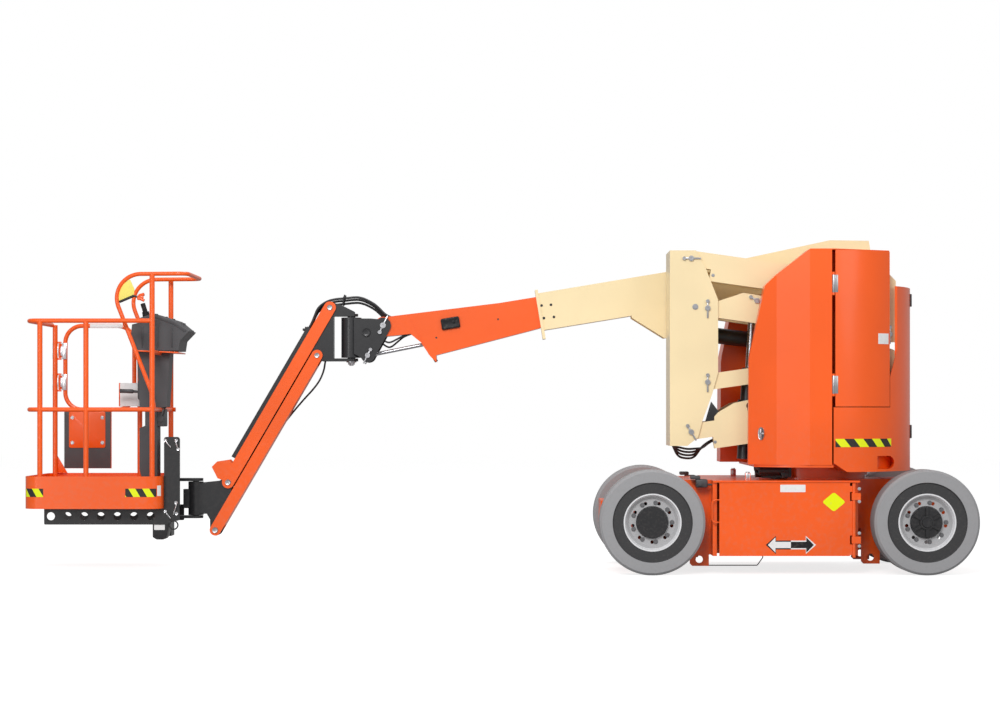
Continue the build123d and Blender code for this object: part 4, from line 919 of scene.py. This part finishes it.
class LIFT_OT_boom(bpy.types.Operator):
    """Bolts, root pins, covers, fold lines and stop of the telescopic boom"""

    bl_idname = "lift.boom"
    bl_label = "Boom fittings"

    def execute(self, context):
        lean = math.radians(9.3)
        along = Vector((math.cos(lean), 0, math.sin(lean)))
        bolt = bolt_model()
        pin = pin_model()
        fit_both(bolt, [(x, z, along, 0.0062) for x, z in (
            (0.284, 1.652), (0.343, 1.657), (0.299, 1.573), (0.362, 1.580))],
                 "collar_bolts", "black", "boom_main")
        fit_both(pin, [(2.2995, 1.944, along, 0.030)], "boom_root_pin", "zinc",
                 "tower_rear_upright", 0.04)
        fit_both(pin, [(-0.379, 1.450, along, 0.0055), (0.010, 1.566, along, 0.0055)],
                 "fly_dots", "black", "boom_fly")
        discard(bolt, pin)

        for side, way in SIDES:
            cover = block((0, 0, 0.010), (0.118, 0.072, 0.024), 0.010)
            with Shaping(cover) as shape:
                shape.top()
                shape.inset(0.012, -0.004)
            knob = rod((0.020, 0.006, 0.014), (0.020, 0.006, 0.026), 0.009)
            cover = joined([cover, knob])
            spot = skin("boom_fly", -0.290, 1.541, way)
            cover.data.transform(stance(spot, (0, way, 0), along))
            settle(cover, f"fly_cover_{side}", "decal_black", "boom_fly")

            face = skin("boom_fly", -0.50, 1.50, way).y
            fold = [(-0.557, 1.592), (-0.551, 1.593), (-0.488, 1.475), (-0.420, 1.345),
                    (-0.426, 1.342), (-0.494, 1.472)]
            settle(cut_plate(fold, face - way * 0.001, way * 0.003), f"fly_fold_{side}", "orange",
                   "boom_fly")
        stop = rod((-0.405, 0.085, 1.340), (-0.380, 0.085, 1.300), 0.011)
        settle(stop, "fly_stop", "black", "boom_fly")
        return {"FINISHED"}


class LIFT_OT_tip(bpy.types.Operator):
    """Pins, keeper bars, rotator bolt and tray clamp of the boom tip and jib"""

    bl_idname = "lift.tip"
    bl_label = "Tip and jib pins"

    def execute(self, context):
        keeper = keeper_model()
        pin = pin_model()
        bolt = bolt_model()
        tip, top, link, foot, swing = (joint_at(name) for name in (
            "tip_level", "jib_lift", "jib_link_pivot", "jib_end_pivot", "jib_swing"))
        proud = 0.0006
        fit_both(keeper, [(tip.x, tip.z, (0.43, 0, 0.90), 1.1),
                          (-0.811, 1.3385, (-0.45, 0, -0.89), 0.95)],
                 "tip_pins", "zinc", "tip_bracket", 0.03)
        fit_both(pin, [(-0.819, 1.483, ALONG_X, 0.026)], "tip_boss", "black", "tip_bracket", 0.03)
        fit_both(pin, [(top.x, top.z, ALONG_X, 0.017)], "jib_top_pin", "zinc", "jib_arm", 0.024,
                 "jib_base", proud)
        fit_both(pin, [(link.x, link.z, ALONG_X, 0.016)], "jib_link_pin", "zinc", "jib_link",
                 0.022)
        fit_both(pin, [(foot.x, foot.z, ALONG_X, 0.018)], "jib_foot_pin", "zinc", "jib_arm",
                 0.024, "jib_end", proud)
        fit_both(pin, [(-1.774, 0.237, ALONG_X, 0.018)], "jib_tail_pin", "zinc", "jib_link",
                 0.022, "jib_end", proud)
        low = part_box("jib_base")[0].z
        fit(bolt, [((swing.x, swing.y, low), DOWN, ALONG_X, 0.024),
                   ((swing.x, swing.y, low - 0.014), DOWN, ALONG_X, 0.015)],
            "rotator_bolt", "zinc", "jib_base")
        discard(keeper, pin, bolt)
        clamp = [block((-1.205, 0.085, 1.502), (0.040, 0.075, 0.016), 0.004),
                 rod((-1.205, 0.050, 1.500), (-1.205, 0.050, 1.520), 0.005)]
        settle(clamp, "tray_clamp", "hose", "jib_arm")
        return {"FINISHED"}


class LIFT_OT_hoses(bpy.types.Operator):
    """Hydraulic hoses over the boom tip, along the link and under the tower, and their strap"""

    bl_idname = "lift.hoses"
    bl_label = "Hoses"

    def execute(self, context):
        strands = (                 # Y, lift, spread of the strand
            (0.055, 0.006, 0.000), (0.085, -0.008, -0.012), (0.115, -0.026, 0.010))
        for i, (y, lift, spread) in enumerate(strands):
            hose(f"tip_hose_{i}",
                 flat(y, (-0.600, 1.560), (-0.665, 1.578), (-0.705, 1.592 + lift),
                      (-0.740, 1.630 + lift), (-0.785, 1.668 + lift), (-0.835, 1.690 + lift)),
                 HOSE_R, "boom_fly", "tip_bracket")
            hose(f"swing_hose_{i}",
                 flat(y, (-0.835, 1.690 + lift), (-0.865, 1.700 + lift), (-0.900, 1.700 + lift),
                      (-0.955, 1.694 + lift), (-0.975, 1.692 + lift)),
                 HOSE_R, "tip_bracket", "jib_base")
            hose(f"jib_hose_{i}",
                 flat(y, (-0.975, 1.692 + lift), (-1.014, 1.690 + lift), (-1.075, 1.674 + lift),
                      (-1.128, 1.638 + lift / 2), (-1.150, 1.585), (-1.170, 1.535),
                      (-1.205 + spread / 2, 1.480), (-1.240, 1.420)),
                 HOSE_R, "jib_base", "jib_arm")
        strap = [rod((-0.962, 0.035, 1.706), (-0.962, 0.135, 1.706), 0.006),
                 rod((-0.972, 0.045, 1.655), (-0.958, 0.045, 1.722), 0.005),
                 rod((-0.972, 0.125, 1.655), (-0.958, 0.125, 1.722), 0.005)]
        settle(strap, "hose_strap", "hose", "jib_base")
        for i, (y, drop) in enumerate(((0.045, 0.0), (0.125, 0.028))):
            hose(f"level_hose_{i}",
                 flat(y, (-0.720, 1.440 - drop), (-0.700, 1.424 - drop), (-0.672, 1.418 - drop),
                      (-0.630, 1.440 - drop / 2), (-0.580, 1.468), (-0.530, 1.480)),
                 THIN_HOSE_R, "tip_bracket", "boom_fly")
        hose("link_hose",
             flat(0.152, (-1.085, 1.330), (-1.092, 1.298), (-1.098, 1.250), (-1.124, 1.183),
                  (-1.172, 1.120), (-1.238, 1.050), (-1.327, 0.943), (-1.400, 0.846),
                  (-1.475, 0.720), (-1.560, 0.565), (-1.630, 0.440)),
             THIN_HOSE_R, "jib_link")
        tower_hose_r = 0.0070
        for i, (y, sag) in enumerate(((-0.215, 0.002), (-0.180, -0.018), (-0.145, -0.038),
                                      (-0.250, 0.022))):
            hose(f"tower_hose_{i}",
                 flat(y, (1.088, 0.800), (1.100, 0.768), (1.130, 0.742 + sag),
                      (1.180, 0.730 + sag), (1.232, 0.734 + sag), (1.272, 0.758),
                      (1.310, 0.790), (1.350, 0.812), (1.400, 0.828)),
                 tower_hose_r, "tower_mid_upright", "tower_lower_arm")
        return {"FINISHED"}


class LIFT_OT_platform(bpy.types.Operator):
    """Gate fittings, stripes, labels, guard plate, controls and support fittings of the platform"""

    bl_idname = "lift.platform"
    bl_label = "Platform fittings"

    def execute(self, context):
        self.gate()
        self.floor_and_guard()
        self.console()
        self.support()
        return {"FINISHED"}

    def gate(self):
        """Hinges, label, panels and bolted plate of the gate."""
        bolt = bolt_model()
        pin = pin_model()
        hinge_z = (1.1745, 1.3765)
        post_x, thick = -2.875, 0.004
        for name, body, leaf_x, leaf_width, knuckle_x, knuckle_width in (
                ("post", "platform", post_x, 0.022, -2.8525, 0.006),
                ("gate", "platform_gate", -2.809, 0.028, -2.8280, 0.012)):
            leaves = []
            for z in hinge_z:
                leaves += [block((leaf_x, 0.4165, z), (leaf_width, thick, 0.104), 0.0015),
                           block((knuckle_x, 0.4185, z), (knuckle_width, thick, 0.060), 0.0012)]
            settle(leaves, f"hinge_{name}_leaves", "silver", body)
        screws = [((post_x, 0.4145, z + dz), NEAR, ALONG_X, 0.004)
                  for z in hinge_z for dz in (-0.042, -0.014, 0.014, 0.042)]
        fit(pin, screws, "hinge_screws", "zinc", "platform")

        strip = block((-2.537, 0.4195, 1.540), (0.212, 0.002, 0.024), 0.0006)
        settle(strip, "gate_blank_label", "white", "platform_gate")
        panel = rectangle(-2.811, 0.617, -2.510, 0.985)
        for name, y, depth in (("in", 0.4335, -0.012), ("out", 0.4365, 0.012)):
            settle(cut_plate(panel, y, depth, 0.002, 0.006), f"gate_panel_{name}", "panel",
                   "platform_gate")
        plate = rectangle(-2.779, 0.749, -2.543, 0.985)
        settle(cut_plate(plate, 0.4212, -0.005, 0.0015, 0.014), "gate_plate", "orange",
               "platform_gate")
        spots = [((x, 0.4160, z), NEAR, ALONG_X, 0.0085)
                 for x in (-2.757, -2.562) for z in (0.782, 0.945)]
        fit(bolt, spots, "gate_plate_bolts", "zinc", "platform_gate")
        discard(bolt, pin)

    def floor_and_guard(self):
        """Gussets and stickers of the floor tray; the guard plate with its edge and tab."""
        gussets = [cut_plate(outline, 0.432, 0.006, 0.001) for outline in (
            [(-2.868, 0.586), (-2.792, 0.586), (-2.868, 0.716)],
            [(-2.322, 0.586), (-2.284, 0.586), (-2.284, 0.650)])]
        settle(gussets, "tray_gussets", "orange", "platform")
        for name, finish, x0, x1, z0, z1 in (
                ("tray_stripes_left", "tray_stripes", -2.900, -2.785, 0.459, 0.510),
                ("tray_stripes_right", "tray_stripes", -2.280, -2.092, 0.459, 0.510),
                ("tray_tag", "white", -2.088, -2.070, 0.464, 0.528)):
            settle(self.wrap("platform_tray", x0, x1, z0, z1), name, finish, "platform")

        guard = [(-2.336, 1.664), (-2.346, 1.716), (-2.322, 1.765), (-2.270, 1.806),
                 (-2.240, 1.742), (-2.246, 1.700)]
        settle(cut_plate(guard, -0.199, 0.004, 0.001, 0.010), "guard_plate", "pale_yellow",
               "platform")
        y = -0.197
        edge = [rod((-2.334, y, 1.664), (-2.244, y, 1.702), 0.008),
                rod((-2.244, y, 1.702), (-2.224, y, 1.694), 0.006)]
        settle(edge, "guard_edge", "hose", "platform")
        tab = [block((-2.205, y, 1.690), (0.040, 0.016, 0.030), 0.006),
               rod((-2.214, y, 1.702), (-2.180, y, 1.712), 0.010),
               rod((-2.206, y, 1.684), (-2.180, y, 1.672), 0.009)]
        settle(tab, "guard_tab", "orange", "platform")

    def wrap(self, node, x0, x1, z0, z1):
        """Sticker that follows a CAD node's near face between two X and two Z."""
        deselect()
        bpy.ops.mesh.primitive_grid_add(x_subdivisions=14, y_subdivisions=1, size=1.0)
        patch = bpy.context.object
        for vertex in patch.data.vertices:
            x = x0 + (vertex.co.x + 0.5) * (x1 - x0)
            z = z0 + (vertex.co.y + 0.5) * (z1 - z0)
            place = skin(node, x, z)
            vertex.co = (x, place.y - 0.0004, z)
        with Shaping(patch) as shape:
            shape.outwards()
        modify(patch, "SOLIDIFY", thickness=STICKER, offset=0.0)
        return patch

    def console(self):
        """Joysticks, lid, ribs, clip, shelf, boxes, lever, sockets and cable of the console."""
        sticks = [rod((-2.200, -0.010, 1.572), (-2.206, -0.010, 1.612), 0.022),
                  rod((-2.206, -0.010, 1.606), (-2.224, -0.010, 1.664), 0.015),
                  rod((-2.150, 0.060, 1.560), (-2.150, 0.060, 1.592), 0.017),
                  rod((-2.150, 0.060, 1.588), (-2.148, 0.060, 1.602), 0.010),
                  rod((-2.080, 0.020, 1.555), (-2.080, 0.020, 1.582), 0.010),
                  rod((-2.050, 0.100, 1.545), (-2.046, 0.100, 1.572), 0.010)]
        settle(sticks, "joysticks", "decal_black", "platform")
        lid = [(-2.262, 1.560), (-2.150, 1.600), (-2.010, 1.556), (-1.938, 1.496),
               (-1.952, 1.480), (-2.020, 1.528), (-2.150, 1.576), (-2.262, 1.540)]
        settle(cut_plate(lid, -0.068, 0.306, 0.004, 0.010), "console_lid", "moulding", "platform")
        y = 0.085                 # middle of the console
        ribs = [block((x, y, 1.452), (0.006, 0.312, 0.130), 0.002)
                for x in (-2.215, -2.120, -2.030)]
        settle(ribs, "console_ribs", "moulding", "platform")
        clip = [block((-1.955, y, 1.492), (0.060, 0.120, 0.016), 0.004),
                block((-1.985, y, 1.520), (0.020, 0.100, 0.050), 0.005)]
        settle(clip, "console_clip", "moulding", "platform")
        shelf = [(-2.268, 1.362), (-1.994, 1.350), (-1.994, 1.358), (-2.268, 1.370)]
        settle(cut_plate(shelf, -0.070, 0.310, 0.001, 0.002), "console_shelf", "orange", "platform")
        box = block((-2.328, 0.205, 1.092), (0.150, 0.060, 0.148), 0.004)
        with Shaping(box) as shape:
            shape.top()
            shape.inset(0.008, -0.030)
        settle(box, "document_box", "white", "platform")
        edge = block((-2.4055, 0.205, 1.092), (0.007, 0.064, 0.150), 0.002)
        settle(edge, "document_box_edge", "orange", "platform")
        lever = [rod((-2.386, y, 1.115), (-2.300, y, 1.112), 0.013),
                 rod((-2.300, y, 1.112), (-2.236, y, 1.108), 0.008),
                 block((-2.238, y, 1.120), (0.050, 0.120, 0.120), 0.008)]
        settle(lever, "console_lever", "moulding", "platform")
        sockets = [block((-2.118, y, 0.945), (0.052, 0.110, 0.110), 0.006),
                   rod((-2.118, 0.028, 0.940), (-2.118, 0.020, 0.940), 0.020)]
        settle(sockets, "console_sockets", "moulding", "platform")
        cable_r = 0.005
        hose("console_cable",
             flat(0.030, (-2.110, 1.180), (-2.118, 1.150), (-2.104, 1.090), (-2.086, 1.030),
                  (-2.096, 0.975), (-2.112, 0.940)),
             cable_r, "platform")

    def support(self):
        """Lynch pins, clips, ring, socket, label and bumper of the platform's support."""
        pin = pin_model()
        face = skin("platform_support", -2.010, 0.560).y
        spots = [((x, face, z), NEAR, (0.5, 0, -0.86), 0.0105) for x, z in (
            (-2.052, 0.806), (-1.985, 0.806), (-1.972, 0.752), (-2.052, 0.366), (-1.985, 0.420),
            (-1.982, 0.352))]
        fit(pin, spots, "support_pins", "silver", "platform")
        discard(pin)
        y = face - 0.010
        clips = [rod((x0, y, z0), (x1, y, z1), 0.0035, 12) for x0, z0, x1, z1 in (
            (-2.052, 0.806, -2.016, 0.762), (-1.990, 0.812, -1.974, 0.756),
            (-2.056, 0.372, -2.018, 0.322), (-1.978, 0.420, -2.000, 0.346))]
        settle(clips, "support_clips", "silver", "platform")
        deselect()
        bpy.ops.mesh.primitive_torus_add(
            major_radius=0.026, minor_radius=0.0045, major_segments=36, minor_segments=10,
            rotation=(math.pi / 2, 0, 0), location=(-1.998, face - 0.012, 0.281))
        ring = bpy.context.object
        eye = rod((-2.024, face + 0.004, 0.296), (-2.024, face - 0.018, 0.296), 0.009)
        settle([ring, eye], "support_ring", "hose", "platform")
        socket = [(-2.132, 0.330), (-2.132, 0.205), (-2.108, 0.190), (-2.062, 0.190),
                  (-2.044, 0.210), (-2.020, 0.330)]
        settle(cut_plate(socket, -0.180, 0.120, 0.003, 0.008), "support_socket", "black",
               "platform")
        tag = cut_plate(rectangle(-2.122, 0.250, -2.056, 0.297), -0.1808, -0.001, 0.0, 0.003)
        settle(tag, "support_blank_label", "white", "platform")
        bumper = block((-2.086, -0.120, 0.204), (0.070, 0.090, 0.020), 0.006)
        settle(bumper, "support_bumper", "hose", "platform")


class LIFT_PT_panel(bpy.types.Panel):
    """Builds the boom lift's pieces one by one"""

    bl_label = "Boom lift"
    bl_idname = "LIFT_PT_panel"
    bl_space_type = "VIEW_3D"
    bl_region_type = "UI"
    bl_category = "Boom lift"

    def draw(self, context):
        for settings in (context.scene.lift_paint, context.scene.lift_stage):
            for key in settings.__annotations__:
                self.layout.prop(settings, key)
        for operator in OPERATORS:
            self.layout.operator(operator.bl_idname)


OPERATORS = (LIFT_OT_stage, LIFT_OT_paint, LIFT_OT_wheels, LIFT_OT_tower, LIFT_OT_hoods,
             LIFT_OT_chassis, LIFT_OT_boom, LIFT_OT_tip, LIFT_OT_hoses, LIFT_OT_platform)
CLASSES = (PaintSettings, StageSettings) + OPERATORS + (LIFT_PT_panel,)


def register():
    for item in CLASSES:
        bpy.utils.register_class(item)
    bpy.types.Scene.lift_paint = bpy.props.PointerProperty(type=PaintSettings)
    bpy.types.Scene.lift_stage = bpy.props.PointerProperty(type=StageSettings)


def unregister():
    del bpy.types.Scene.lift_stage
    del bpy.types.Scene.lift_paint
    for item in reversed(CLASSES):
        bpy.utils.unregister_class(item)


def main():
    register()
    for operator in OPERATORS:
        group, name = operator.bl_idname.split(".")
        getattr(getattr(bpy.ops, group), name)()


if __name__ == "__main__":
    main()
